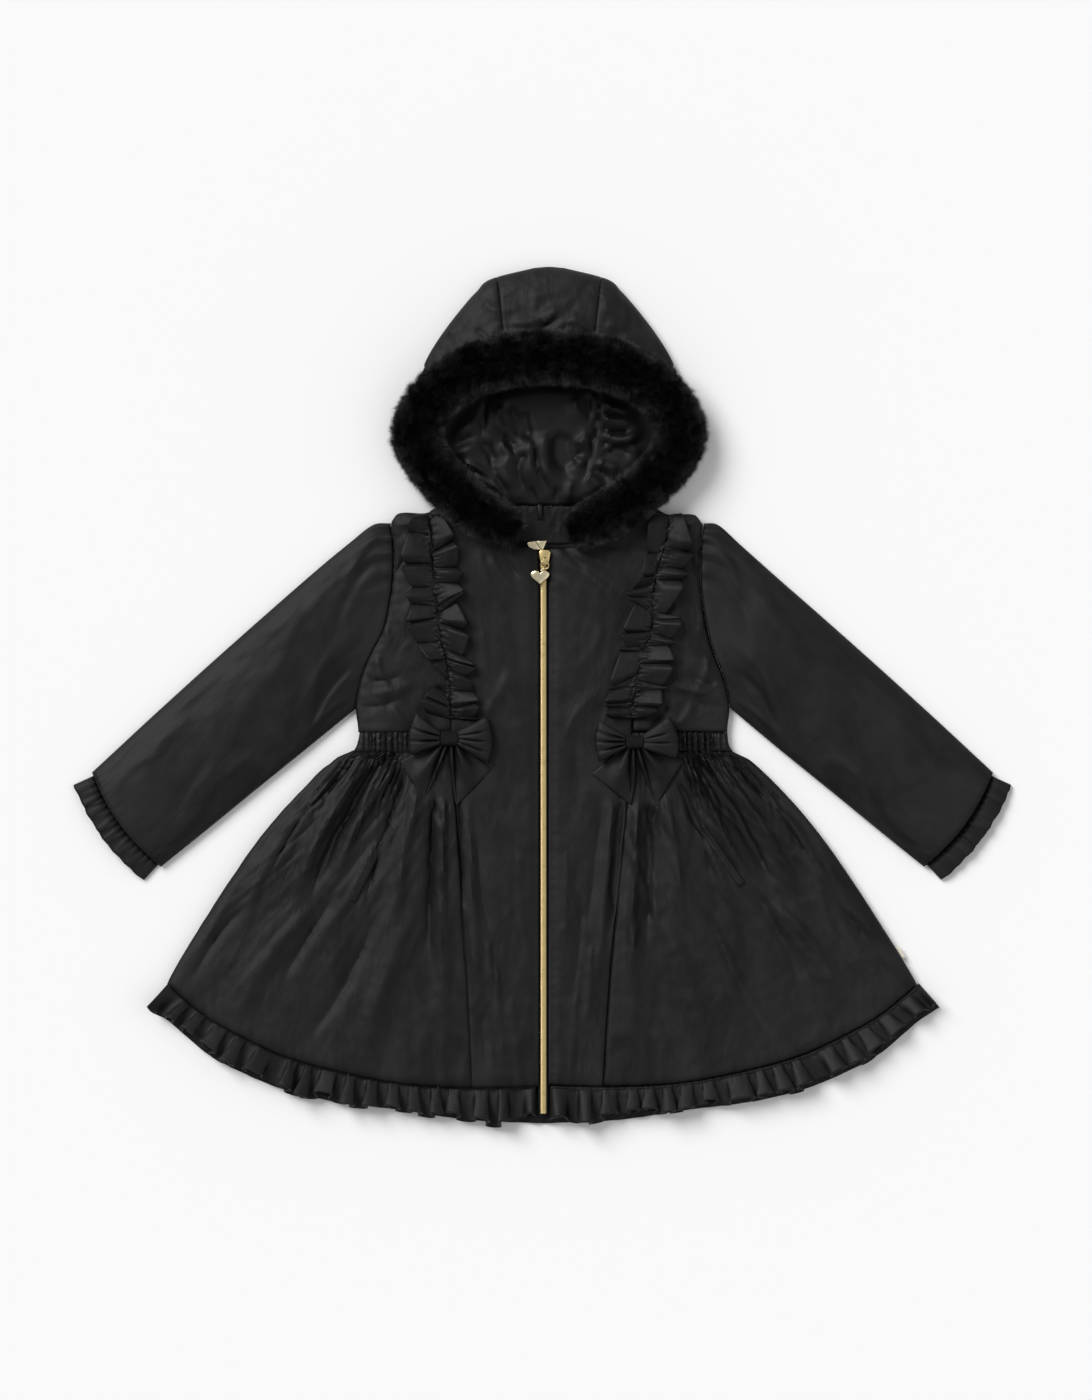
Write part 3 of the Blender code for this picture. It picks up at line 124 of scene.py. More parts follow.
# Creases: start x y, end x y, sideways bend, width, height (a trough if negative), in millimetres
CREASES = {
    "skirt_l": (
        (-160, -66, -230, -200, 6, 6, -6.0), (-176, -70, -248, -204, 8, 9, 4.5),
        (-147, -68, -209, -186, 5, 7, 4.0), (-128, -66, -176, -210, 6, 5, -3.0),
        (-118, -64, -150, -250, 4, 9, 3.0), (-104, -66, -112, -262, 3, 5, -3.5),
        (-98, -72, -99, -300, 2, 6, 3.2), (-202, -78, -300, -226, 10, 11, 3.0),
        (-194, -74, -280, -188, 8, 5, -3.0), (-226, -92, -292, -168, 6, 6, -2.4),
        (-250, -106, -300, -176, 5, 6, 2.4), (-130, -220, -180, -372, 5, 14, 2.2),
        (-232, -214, -304, -326, 8, 15, 2.4), (-170, -230, -240, -352, -6, 9, -2.4),
        (-206, -200, -262, -300, 5, 8, -1.8), (-92, -210, -96, -368, 3, 9, 1.6),
        (-286, -160, -345, -262, 5, 10, 1.8), (-300, -212, -352, -286, 3, 7, -1.6),
        (-150, -120, -196, -214, 3, 4, 1.8), (-112, -98, -98, -140, 2, 3, 1.6),
        (-138, -92, -158, -150, 3, 3, -1.6), (-188, -110, -226, -168, 3, 4, 1.6),
    ),
    "skirt_r": (
        (154, -66, 228, -184, -6, 6, -6.0), (172, -70, 252, -192, -8, 9, 4.0),
        (142, -66, 206, -194, -5, 7, 4.0), (126, -64, 176, -208, -6, 5, -2.6),
        (115, -62, 142, -238, -4, 9, 3.0), (103, -66, 104, -252, -3, 5, -3.5),
        (95, -70, 86, -300, -2, 6, 3.2), (200, -78, 298, -220, -10, 11, 3.0),
        (190, -72, 276, -182, -8, 5, -3.0), (222, -92, 288, -166, -6, 6, -2.4),
        (246, -108, 300, -180, -5, 6, 2.2), (124, -226, 168, -366, -5, 14, 2.2),
        (234, -208, 306, -320, -8, 15, 2.4), (168, -220, 236, -346, 6, 9, -2.4),
        (212, -196, 266, -304, -5, 8, -1.8), (90, -200, 90, -366, -3, 9, 1.6),
        (286, -170, 345, -268, -5, 10, 1.8), (302, -216, 350, -290, -3, 7, -1.6),
        (146, -124, 192, -210, -3, 4, 1.8), (118, -96, 104, -142, -2, 3, 1.6),
        (136, -90, 156, -148, -3, 3, -1.6), (184, -112, 224, -166, -3, 4, 1.6),
    ),
    "centre_l": (
        (-86, -64, -80, -230, 0, 4, -6.0), (-74, -104, -62, -300, 2, 6, 2.4),
        (-77, -206, -74, -272, 1, 3, 1.8), (-54, -246, -48, -300, 1, 3, 1.6),
        (-46, -270, -42, -338, 1, 4, 1.6), (-66, -140, -52, -240, 2, 5, -1.6),
        (-36, 148, -22, 118, 3, 4, -2.2), (-50, 140, -18, 96, 4, 6, 1.6),
        (-64, 146, -36, 92, 5, 7, 1.4), (-30, 20, -12, -60, 4, 14, 1.0),
        (-58, -20, -30, 40, 4, 7, 1.2), (-40, -60, -16, -130, 4, 12, -1.0),
        (-62, 66, -32, 30, 4, 9, 1.0), (-22, -150, -14, -260, 3, 8, 1.0),
        (-30, -300, -20, -372, 3, 7, 1.0), (-60, -320, -52, -376, 2, 6, -1.2),
    ),
    "centre_r": (
        (82, -62, 68, -240, 0, 4, -6.0), (70, -92, 54, -300, -2, 6, 2.4),
        (58, -110, 44, -230, -2, 5, -1.6), (34, -30, 26, -140, -3, 12, -1.0),
        (18, 150, 44, 120, -3, 4, -2.0), (32, 142, 90, 112, -5, 5, 2.0),
        (24, 132, 84, 84, -6, 6, 2.0), (56, 152, 112, 140, -3, 4, -1.8),
        (16, 118, 62, 68, -5, 8, 1.4), (60, 70, 30, 20, -4, 9, 1.0),
        (24, -40, 60, 10, -4, 9, 1.2), (50, -250, 42, -330, -2, 6, 1.4),
        (24, -160, 18, -262, -3, 8, 1.0), (34, -300, 26, -374, -3, 7, 1.0),
        (40, -210, 30, -300, -2, 5, -1.2),
    ),
    "side_l": (
        (-146, 172, -118, 176, 2, 4, 2.0), (-138, 160, -116, 138, 3, 6, 1.8),
        (-150, 120, -128, 168, 4, 5, -1.8), (-118, 110, -142, 60, 4, 8, 1.4),
        (-172, 16, -140, 22, 3, 4, -2.0), (-168, 4, -128, 14, 3, 5, 1.8),
        (-180, -10, -140, 0, 3, 4, -1.6), (-164, 40, -150, 4, 3, 4, 1.8),
        (-122, -10, -108, -34, 2, 4, -1.6), (-150, -8, -128, -34, 3, 5, 1.4),
        (-132, 90, -116, 30, 3, 8, 1.2), (-156, 88, -150, 50, 2, 6, 1.2),
    ),
    "side_r": (
        (154, 172, 134, 176, -2, 4, 2.0), (146, 158, 128, 138, -3, 6, 1.8),
        (158, 118, 140, 166, -4, 5, -1.8), (122, 106, 148, 58, -4, 8, 1.4),
        (174, 14, 144, 22, -3, 4, -2.0), (168, 2, 128, 14, -3, 5, 1.8),
        (182, -12, 142, 0, -3, 4, -1.6), (166, 38, 152, 4, -3, 4, 1.8),
        (124, -8, 110, -34, -2, 4, -1.6), (150, -8, 130, -34, -3, 5, 1.4),
        (134, 88, 120, 28, -3, 8, 1.2), (160, 86, 154, 48, -2, 6, 1.2),
    ),
    "sleeve_l": (
        (-166, 160, -196, 96, 8, 7, 2.6), (-172, 130, -206, 60, 8, 6, -2.2),
        (-186, 60, -236, -20, 10, 8, 3.0), (-190, 30, -234, -44, 8, 5, -3.2),
        (-196, -4, -244, -52, 5, 5, 2.4), (-214, 100, -262, 30, 9, 14, 1.8),
        (-250, 40, -310, -50, 8, 18, 1.8), (-300, 40, -356, -30, 8, 16, -1.6),
        (-290, -60, -340, -112, 5, 9, 1.8), (-350, -20, -404, -96, 8, 14, 1.8),
        (-240, 92, -300, 54, -6, 9, 1.4), (-330, -60, -372, -140, 6, 8, -1.6),
        (-392, -60, -432, -104, 5, 8, 1.4), (-320, 24, -380, -18, -5, 7, 1.4),
    ),
    "sleeve_r": (
        (166, 158, 196, 94, -8, 7, 2.6), (172, 128, 206, 58, -8, 6, -2.2),
        (188, 56, 238, -22, -10, 8, 3.0), (192, 28, 236, -44, -8, 5, -3.2),
        (196, -6, 244, -52, -5, 5, 2.4), (216, 98, 264, 28, -9, 14, 1.8),
        (252, 38, 312, -52, -8, 18, 1.8), (302, 38, 358, -32, -8, 16, -1.6),
        (290, -62, 342, -112, -5, 9, 1.8), (352, -22, 406, -96, -8, 14, 1.8),
        (242, 90, 302, 52, 6, 9, 1.4), (332, -60, 374, -140, -6, 8, -1.6),
        (392, -62, 434, -102, -5, 8, 1.4), (322, 22, 382, -20, 5, 7, 1.4),
    ),
    "crown": (
        (-30, 372, 22, 392, 5, 4, 2.0), (2, 372, 14, 388, 2, 3, 2.4), (-4, 366, 14, 380, 2, 4, -2.0),
        (6, 362, 42, 376, -4, 5, 1.8), (-34, 350, 2, 362, 4, 5, 1.6), (24, 362, 50, 356, 3, 4, -2.2),
        (30, 380, 52, 366, 3, 5, 1.6), (-78, 352, -42, 372, 5, 5, 2.0), (-92, 344, -48, 356, 4, 4, 2.2),
        (-66, 366, -40, 352, 3, 4, -1.8), (-58, 392, -34, 382, 3, 5, 1.6), (62, 396, 82, 376, 4, 5, 1.8),
        (58, 352, 96, 362, 4, 4, 1.8), (66, 372, 100, 352, -4, 6, 1.6), (-104, 336, -70, 350, 4, 4, 1.6),
        (78, 344, 116, 340, 4, 4, 1.6), (-12, 400, 30, 410, 3, 5, 1.4), (-96, 362, -70, 382, 3, 6, 1.4),
    ),
    "lining": (
        (-58, 298, -61, 256, 0, 2.5, -5.0), (-61, 257, -45, 219, 1, 2.5, -4.5),
        (-46, 220, -35, 200, 0, 2.5, -4.0), (-96, 251, -63, 265, 3, 3.5, -5.0),
        (-99, 262, -65, 277, 3, 6, 5.0), (-92, 243, -64, 253, 2, 5, 4.0),
        (-80, 234, -52, 218, -3, 4, 4.5), (-76, 226, -46, 207, -3, 3, -4.5),
        (-70, 220, -38, 199, -3, 4, 4.0), (-52, 254, -44, 232, 3, 3, -4.5),
        (-56, 247, -48, 226, 2, 3, 4.0), (-41, 290, -34, 262, 6, 4, 5.0),
        (-34, 291, -26, 258, -6, 3, -5.5), (-38, 263, -22, 250, 4, 3, -5.0),
        (-40, 254, -20, 240, 5, 4, 4.5), (-31, 246, -13, 240, 3, 3, -4.5),
        (-36, 238, -28, 206, 3, 8, 4.0), (-24, 236, -18, 204, 3, 3, -3.5),
        (-17, 284, -6, 250, 4, 4.5, -7.0), (-6, 251, 8, 204, 5, 3.0, -5.0),
        (-12, 262, -2, 208, 5, 7, 6.0), (3, 262, 14, 202, 5, 8, 6.0), (16, 264, 27, 216, 2, 4, -5.5),
        (23, 260, 26, 228, 2, 7, -7.5), (30, 240, 45, 236, 3, 3, 5.0), (28, 231, 41, 247, -2, 2.5, -4.5),
        (33, 252, 47, 262, 2, 4, 5.0), (34, 298, 40, 274, 2, 4, 4.0), (45, 302, 46, 272, -2, 3, -4.5),
        (59, 308, 42, 214, -2, 1.8, -4.5), (59, 270, 93, 270, 6, 3, -6.0), (60, 279, 96, 281, 5, 5, 6.0),
        (59, 254, 106, 258, 5, 3, -6.5), (62, 262, 104, 266, 6, 5, 6.0), (60, 242, 93, 238, -5, 3, -5.5),
        (62, 248, 98, 246, -5, 5, 5.0), (64, 291, 100, 293, 6, 4, 5.0), (62, 285, 96, 287, 5, 3, -5.0),
        (56, 233, 76, 223, -3, 4, 4.5), (51, 227, 68, 213, -3, 3, -4.5), (46, 220, 58, 204, -2, 4, 4.0),
        (-12, 208, -5, 190, 1, 3, -3.5), (17, 208, 14, 190, 1, 3, -3.5), (31, 216, 26, 192, 1, 4, 3.0),
    ),
    "back": (
        (-60, 150, -110, 60, 8, 14, 1.6), (62, 150, 108, 56, -8, 14, 1.6),
        (-20, 60, -30, -34, 4, 10, 1.4), (40, 40, 30, -34, 4, 10, 1.4),
        (-150, -60, -240, -240, 8, 12, 2.0), (-100, -60, -150, -320, 6, 12, 2.0),
        (-50, -60, -70, -360, 4, 12, 2.0), (-8, -60, -6, -370, 3, 12, 1.8),
        (36, -60, 60, -366, -4, 12, 2.0), (84, -60, 140, -340, -6, 12, 2.0),
        (140, -60, 230, -260, -8, 12, 2.0), (-200, -90, -310, -280, 8, 12, 1.8),
        (196, -90, 306, -270, -8, 12, 1.8), (-120, 100, -150, 20, 4, 8, 1.4),
        (118, 100, 152, 20, -4, 8, 1.4),
    ),
}

# Chest ruffles. The gather line: y, left x, right x
CHEST_LINE = (
    (181, -112.0, 127.0), (155, -110.9, 123.5), (132, -109.5, 116.1), (109, -107.5, 111.7),
    (86, -104.3, 110.3), (66, -102.9, 108.8), (47, -98.5, 101.5), (18, -94.0, 94.2),
    (-4, -92.3, 91.2), (-22, -91.0, 88.3),
)
# Each flattened fold's far end, along each edge of each ruffle from the shoulder down: y at the
# gather line, y at the free edge, x of the free edge there, and where between its ends it is highest
CHEST_FLAPS = {
    ("l", "l"): (
        (181, 181, -128, .5), (160, 164, -138, .3), (132, 131, -140, .7), (109, 108, -134, .15),
        (90, 92, -134, .5), (78.8, 73, -133.5, .85), (54.6, 52.5, -129, .2), (36, 34, -110, .8),
        (18, 16, -96, .2), (2, 10, -110, .5), (-12, 0, -116, .85), (-22, -16, -121, .3),
    ),
    ("l", "r"): (
        (181, 181, -98, .5), (142.6, 155, -86.7, .75), (128, 128, -82.3, .2), (114, 112, -80.8, .3),
        (88.4, 105, -79.5, .8), (82, 96, -83, .2), (74, 64.6, -74.7, .7), (46, 39.2, -76.1, .2),
        (37, 28.2, -66.5, .75), (26, 18.7, -74.7, .15), (6, 4, -66.5, .25), (-12.8, -7, -64.7, .7),
        (-20, -22.4, -65.8, .3), (-22, -24, -66, .5),
    ),
    ("r", "l"): (
        (181, 182, 109, .5), (142, 143, 101.5, .3), (120, 118, 100, .8), (112, 106, 85.5, .2),
        (98, 99, 86, .5), (84, 94, 90, .3), (64, 63, 81, .85), (50, 48, 81.5, .2), (44, 46, 75, .5),
        (21, 8, 68.5, .8), (10, 6, 66, .2), (-6, -8, 63.5, .75), (-12, -12, 64, .25), (-22, -22, 64.5, .5),
    ),
    ("r", "r"): (
        (181, 182, 143, .5), (148, 143, 150, .75), (130, 126, 143.5, .2), (116, 116, 143.5, .5),
        (84, 81, 125, .25), (76, 78, 140, .85), (64, 56, 130.5, .3), (50, 51, 130, .5), (32, 33, 130, .8),
        (16, 9, 124, .25), (4, 7, 123, .5), (-10, -12, 116, .75), (-22, -22, 106, .3),
    ),
}
CHEST_RISE = 10.5
CHEST_WALL = 1.1

# Bow pieces about the knot's middle: x y of corners; pleats as places across a loop, 0 at its top
BOWS = {
    "l": {"knot": (-93.0, -42.0, 17.0, 14.5), "pleats_l": (0.36, 0.68), "pleats_r": (0.3, 0.55, 0.8),
          "loop_l": ((-33.5, 25.0), (-38.5, -17.0)), "loop_r": ((37.5, 21.0), (38.5, -25.0)),
          "tail_l": ((-49.5, -23.0), (-26.5, -64.0), (-7.5, -24.0)),
          "tail_r": ((-1.0, -18.0), (7.0, -68.0), (42.5, -31.0))},
    "r": {"knot": (92.0, -45.5, 17.0, 13.5), "pleats_l": (0.28, 0.52, 0.76), "pleats_r": (0.34, 0.62),
          "loop_l": ((-35.5, 21.5), (-35.0, -20.5)), "loop_r": ((34.5, 24.5), (41.5, -17.0)),
          "tail_l": ((-43.0, -32.0), (-4.0, -63.0), (3.0, -25.0)),
          "tail_r": ((2.0, -14.0), (22.0, -63.5), (49.0, -18.5))},
}
TAIL_BASE = FRONT_TOP + 0.45
BOW_BASE = TAIL_BASE + 4.3
LOOP_DEPTH = 9.0

# Hood, about its own middle line: y, half width of its outline
HOOD_X = 6.5
HOOD_OUTLINE = (
    (428, 10.0), (416, 57.0), (404, 71.0), (392, 82.0), (368, 101.0), (344, 117.0), (320, 129.0),
    (291, 145.0), (262, 147.0), (236, 139.0), (212, 123.0), (200, 110.0), (188, 100.0),
)
HOOD_TOP = 428.0
HOOD_FOOT = 190.5
CROWN_HALF = 130.0
LINING_TOP = 8.2
CROWN_END = 331.0
# Middle of the fur roll: share of the way from the top to a lower end, x about the hood's middle,
# y, z, half width, half height
FUR_LINE = (
    (0 / 9, 0.0, 337.5, 50.0, 28.5, 17.0), (1 / 9, 46.0, 333.5, 49.0, 28.5, 17.0),
    (2 / 9, 87.0, 319.0, 42.0, 27.5, 17.0), (3 / 9, 118.0, 294.0, 31.0, 27.0, 17.0),
    (4 / 9, 132.5, 262.0, 25.7, 26.5, 17.0), (5 / 9, 122.0, 236.0, 25.7, 26.0, 17.0),
    (6 / 9, 99.0, 209.0, 25.2, 25.5, 15.5), (7 / 9, 73.0, 188.0, 30.2, 25.5, 15.5),
    (8 / 9, 48.0, 173.5, 30.4, 25.0, 15.5), (9 / 9, 27.0, 164.0, 29.0, 21.0, 14.0),
)
FUR_END_SHIFT = -5.5


# Settings that a user may change

def length_setting(name, description, default, low, high):
    return bpy.props.FloatProperty(name=name, description=description, default=default, min=low, max=high,
                                   subtype="DISTANCE", unit="LENGTH")


def colour_setting(name, description, default):
    return bpy.props.FloatVectorProperty(name=name, description=description, default=default, min=0, max=1,
                                         subtype="COLOR", size=3)


class CoatSizes(bpy.types.PropertyGroup):
    """Sizes of the coat's finer parts"""

    shell: length_setting("Panel thickness", "Thickness of the padded cloth at a panel's edge",
                          0.0024, 0.0005, 0.006)
    single: length_setting("Frill thickness", "Thickness of the doubled taffeta of frills and bows",
                           0.0011, 0.0005, 0.003)
    hair_length: length_setting("Hair length", "Mean length of the fur's hairs",
                                0.0112, 0.004, 0.03)
    hair_width: length_setting("Hair width", "Width of a lock of hairs at its root",
                               0.00055, 0.0001, 0.002)
    hairs: bpy.props.IntProperty(
        name="Hairs", description="Number of hair locks in each quarter of the fur roll",
        default=94000, min=100, max=150000)
    stitch: length_setting("Stitch length", "Length of a topstitch",
                           0.0028, 0.001, 0.006)


class CoatColours(bpy.types.PropertyGroup):
    """Colours of the coat's finishes"""

    cloth: colour_setting("Taffeta", "Colour of the outer cloth", (0.0064, 0.0064, 0.0065))
    # The lining's colour is darker than the taffeta's: partly the satin's own deeper black, partly painted
    # shade of the hood's hollow and of the fur over it
    satin: colour_setting("Lining", "Colour of the satin lining", (0.0028, 0.0028, 0.0028))
    # The fur-tip colour paints a highlight on the black hairs' tips
    fur: colour_setting("Fur tips", "Colour of the fur at its tips", (0.13, 0.128, 0.128))
    gold: colour_setting("Gold", "Colour of the plated metal", (0.86, 0.68, 0.33))
    tab: colour_setting("Tab", "Colour of the blank cream tab", (0.8, 0.74, 0.62))


# Arithmetic on whole columns of places

def mix(a, b, t):
    return a + (b - a) * t


def ease(t):
    """Eases from 0 to 1."""
    t = np.clip(t, 0.0, 1.0)
    return t * t * (3 - 2 * t)


def read(rows, key, column):
    """Values of a table's column where its first column equals key, on a smooth curve."""
    rows = np.array(sorted(rows), float)
    x, y = rows[:, 0], rows[:, column]
    key = np.clip(key, x[0], x[-1])
    i = np.clip(np.searchsorted(x, key, side="right") - 1, 0, len(x) - 2)
    before, after = np.maximum(np.arange(len(x)) - 1, 0), np.minimum(np.arange(len(x)) + 1, len(x) - 1)
    slope = (y[after] - y[before]) / (x[after] - x[before])
    step = x[i + 1] - x[i]
    t = (key - x[i]) / step
    ends = (1 - t) ** 2 * (1 + 2 * t) * y[i] + t * t * (3 - 2 * t) * y[i + 1]
    return ends + step * t * (1 - t) * ((1 - t) * slope[i] - t * slope[i + 1])


def noise(x, y, seed=0):
    """Smooth unevenness from about -1 to 1, the same on each run."""
    x, y = np.broadcast_arrays(np.asarray(x, float), np.asarray(y, float))
    xi, yi = np.floor(x).astype(np.int64), np.floor(y).astype(np.int64)
    fx, fy = x - xi, y - yi

    def corner(dx, dy):
        h = ((xi + dx) * 73856093 ^ (yi + dy) * 19349663 ^ (seed + 11) * 83492791) & 0x7FFFFFFF
        h = (h ^ (h >> 13)) * 1274126177 & 0x7FFFFFFF
        h = (h ^ (h >> 15)) * 668265263 & 0x7FFFFFFF
        turn = (h & 0xFFFF) * (2 * math.pi / 65536)
        return np.cos(turn) * (fx - dx) + np.sin(turn) * (fy - dy)

    u, v = (t * t * t * (t * (t * 6 - 15) + 10) for t in (fx, fy))
    low = mix(corner(0, 0), corner(1, 0), u)
    return 1.5 * mix(low, mix(corner(0, 1), corner(1, 1), u), v)


def ridges(x, y, seed=0):
    """Narrow crooked ridges, 0 in the hollows and 1 on their crests."""
    return np.maximum(0.0, 1 - 2.6 * np.abs(noise(x, y, seed))) ** 1.5


def rounded(inset, full, edge, width=ROUNDING):
    """Height of padded cloth at a distance in from its rounded edge."""
    t = np.clip(inset / width, 0.0, 1.0)
    return edge + (full - edge) * np.sqrt(1 - (1 - t) ** 2)


def creases(which, x, y, spread=1.0):
    """Height that a table's creases add at each place, each spread times as wide as its row says."""
    rise = np.zeros(np.shape(x))
    for x0, y0, x1, y1, bend, width, height in CREASES[which]:
        run_x, run_y = x1 - x0, y1 - y0
        length = math.hypot(run_x, run_y)
        along = ((x - x0) * run_x + (y - y0) * run_y) / length ** 2
        across = ((x - x0) * run_y - (y - y0) * run_x) / length
        wander = 1.6 * noise(along * length / 34, 3.7, int(abs(x0)) + 7)
        off = across - bend * 4 * np.clip(along, 0, 1) * (1 - np.clip(along, 0, 1)) + wander
        lean = np.where(off > 0, 1.0, 0.55) * width * spread * mix(0.75, 1.2, np.clip(along, 0, 1))
        taper = ease((along + 0.08) / 0.22) * ease((1.1 - along) / 0.5)
        rise += height * taper * np.exp(-np.abs(off / lean) ** 1.4)
    return rise


def crumple(x, y, size, seed=0):
    """Fine unevenness of padded taffeta, about 1 high."""
    drift = 0.5 * noise(x / size / 2, y / size / 2, seed + 5)
    fine = 0.55 * noise(x / size + drift, y / size - drift, seed)
    return fine + 0.5 * ridges(x / (2.1 * size) + drift, y / (2.1 * size), seed + 9)


def pucker(across, along, reach, period, seed=0):
    """Small pulls beside a seam: across is the distance from it, along the way on it."""
    wave = np.cos(2 * math.pi * along / period + 2.2 * noise(along / (3 * period), 0.5, seed))
    return np.exp(-across / reach) * wave * (0.6 + 0.6 * noise(along / (1.7 * period), 4.5, seed + 3))


def side_x(side, y):
    return read(SIDE_SEAM, y, 1 if side == "l" else 2)


def front_seam_x(side, y):
    return read(FRONT_SEAM, y, 1 if side == "l" else 2)


def sign(side):
    return -1 if side == "l" else 1


def neck_y(x):
    return read(NECK_LINE, np.abs(x - SHOULDER_MIDDLE), 1)


def hem_y(x):
    return read(HEM_LINE, np.abs(x - ZIP_X), 1)


# Making and ending a piece

def show(data, finish, body="root"):
    """Makes a mesh a piece of the coat, with its finish, that moves with the given body."""
    data.materials.append(bpy.data.materials[finish])
    data.shade_smooth()
    piece = bpy.data.objects.new(data.name, data)
    bpy.context.scene.collection.objects.link(piece)
    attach(piece, body)
    return piece


def new_piece(mesh, name, finish, body="root"):
    data = bpy.data.meshes.new(name)
    mesh.to_mesh(data)
    mesh.free()
    return show(data, finish, body)


def move_points(mesh, places):
    for v, place in zip(mesh.verts, places * MM):
        v.co = place


def cloth(name, across, along, surface, finish="black taffeta", slot="taffeta", cut=(100, 100), wall=1.1,
          under=None, closed=False, sharp=50, node=None):
    """A piece of cloth. surface gives x y z columns at u across and v along it, each from 0 to 1.
    Its wall is wall thick, below or inside the surface, or it reaches down to the surface under.
    cut is its real width and length, for the weave."""
    mesh = bmesh.new()
    mesh.loops.layers.uv.new("weave")
    bmesh.ops.create_grid(mesh, x_segments=across, y_segments=along, size=0.5, calc_uvs=True)
    low = set()
    if under is not None:
        made = bmesh.ops.extrude_face_region(mesh, geom=mesh.faces[:])
        low = {v for v in made["geom"] if isinstance(v, bmesh.types.BMVert)}
    grid = np.array([v.co[:2] for v in mesh.verts]) + 0.5
    places = np.stack(surface(grid[:, 0], grid[:, 1]), axis=1)
    if under is not None:
        beneath = np.stack(under(grid[:, 0], grid[:, 1]), axis=1)
        places = np.where(np.array([[v in low] for v in mesh.verts]), beneath, places)
    move_points(mesh, places)
    if under is not None:
        bmesh.ops.recalc_face_normals(mesh, faces=mesh.faces[:])
    elif closed:
        bmesh.ops.remove_doubles(mesh, verts=mesh.verts[:], dist=1e-7)
        bmesh.ops.recalc_face_normals(mesh, faces=mesh.faces[:])
    elif sum(f.normal.z for f in mesh.faces) < 0:
        bmesh.ops.reverse_faces(mesh, faces=mesh.faces[:])
    piece = new_piece(mesh, name, finish)
    uv = piece.data.uv_layers["weave"].uv
    flat = np.zeros(len(uv) * 2, np.float32)
    uv.foreach_get("vector", flat)
    flat = flat.reshape(-1, 2) * np.array(cut, np.float32) * MM
    uv.foreach_set("vector", flat.ravel())
    if under is None:
        solid = piece.modifiers.new("wall", "SOLIDIFY")
        solid.thickness = wall * MM
        solid.offset = -1
        solid.use_quality_normals = True
    if sharp:
        piece.data.set_sharp_from_angle(angle=math.radians(sharp))
    if node:
        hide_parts(node)
    return piece


def roll(name, around, along, surface, finish, body="root", ring=False):
    """A solid roll, or a closed ring: surface gives x y z at u round it and v along it."""
    mesh = bmesh.new()
    bmesh.ops.create_grid(mesh, x_segments=around, y_segments=along, size=0.5)
    grid = np.array([v.co[:2] for v in mesh.verts]) + 0.5
    move_points(mesh, np.stack(surface(grid[:, 0], grid[:, 1]), axis=1))
    bmesh.ops.remove_doubles(mesh, verts=mesh.verts[:], dist=1e-7)
    if not ring:
        bmesh.ops.holes_fill(mesh, edges=[e for e in mesh.edges if e.is_boundary], sides=0)
    bmesh.ops.recalc_face_normals(mesh, faces=mesh.faces[:])
    return new_piece(mesh, name, finish, body)


def plate_mesh(outline, low, high, bevel=0.4, segments=2, upright=None):
    """A bevelled plate of the given outline. An upright one stands along the closing line, from and
    to the given x, and its outline is in y and z."""
    mesh = bmesh.new()
    if upright:
        corners = [mesh.verts.new((upright[0] * MM, y * MM, z * MM)) for y, z in outline]
        way = Vector(((upright[1] - upright[0]) * MM, 0, 0))
    else:
        corners = [mesh.verts.new((x * MM, y * MM, low * MM)) for x, y in outline]
        way = Vector((0, 0, (high - low) * MM))
    face = mesh.faces.new(corners)
    made = bmesh.ops.extrude_face_region(mesh, geom=[face])
    far = [v for v in made["geom"] if isinstance(v, bmesh.types.BMVert)]
    bmesh.ops.translate(mesh, verts=far, vec=way)
    bmesh.ops.recalc_face_normals(mesh, faces=mesh.faces[:])
    if bevel:
        bmesh.ops.bevel(mesh, geom=mesh.edges[:], offset=bevel * MM, segments=segments, profile=0.5,
                        affect="EDGES", material=-1, clamp_overlap=True)
    return mesh


def join_meshes(target, extra):
    """Adds one mesh's faces to another."""
    data = bpy.data.meshes.new("joined")
    extra.to_mesh(data)
    extra.free()
    target.from_mesh(data)
    bpy.data.meshes.remove(data)


def array_piece(name, points, faces, finish, uv=None):
    """Many small things as one mesh, from arrays of corners and faces."""
    data = bpy.data.meshes.new(name)
    data.from_pydata(points.tolist(), [], faces.tolist())
    if uv is not None:
        layer = data.uv_layers.new(name="strand")
        layer.uv.foreach_set("vector", uv[faces.ravel()].astype(np.float32).ravel())
    return show(data, finish)


# Finishes

def group_node(tree, name, **values):
    made = tree.nodes.new("ShaderNodeGroup")
    made.node_tree = bpy.data.node_groups[name]
    for key, value in values.items():
        made.inputs[key.replace("_", " ")].default_value = value
    return made


def math_node(tree, operation, a, b):
    made = tree.nodes.new("ShaderNodeMath")
    made.operation = operation
    for socket, value in zip(made.inputs, (a, b)):
        if isinstance(value, (int, float)):
            socket.default_value = value
        else:
            tree.links.new(value, socket)
    return made.outputs[0]


def noise_node(tree, vector, scale, detail=2.0, roughness=0.5, kind="FBM", distortion=0.0):
    made = tree.nodes.new("ShaderNodeTexNoise")
    made.noise_type = kind
    made.inputs["Scale"].default_value = scale
    made.inputs["Detail"].default_value = detail
    made.inputs["Roughness"].default_value = roughness
    made.inputs["Distortion"].default_value = distortion
    tree.links.new(vector, made.inputs["Vector"])
    return made.outputs["Fac"]


def stretched(tree, vector, scale):
    made = tree.nodes.new("ShaderNodeMapping")
    made.inputs["Scale"].default_value = scale
    tree.links.new(vector, made.inputs["Vector"])
    return made.outputs["Vector"]


def new_group(name, inputs, outputs):
    tree = bpy.data.node_groups.new(name, "ShaderNodeTree")
    for label, kind, default in inputs:
        socket = tree.interface.new_socket(name=label, in_out="INPUT", socket_type=kind)
        if default is not None:
            socket.default_value = default
    for label, kind in outputs:
        tree.interface.new_socket(name=label, in_out="OUTPUT", socket_type=kind)
    return tree, tree.nodes.new("NodeGroupInput"), tree.nodes.new("NodeGroupOutput")


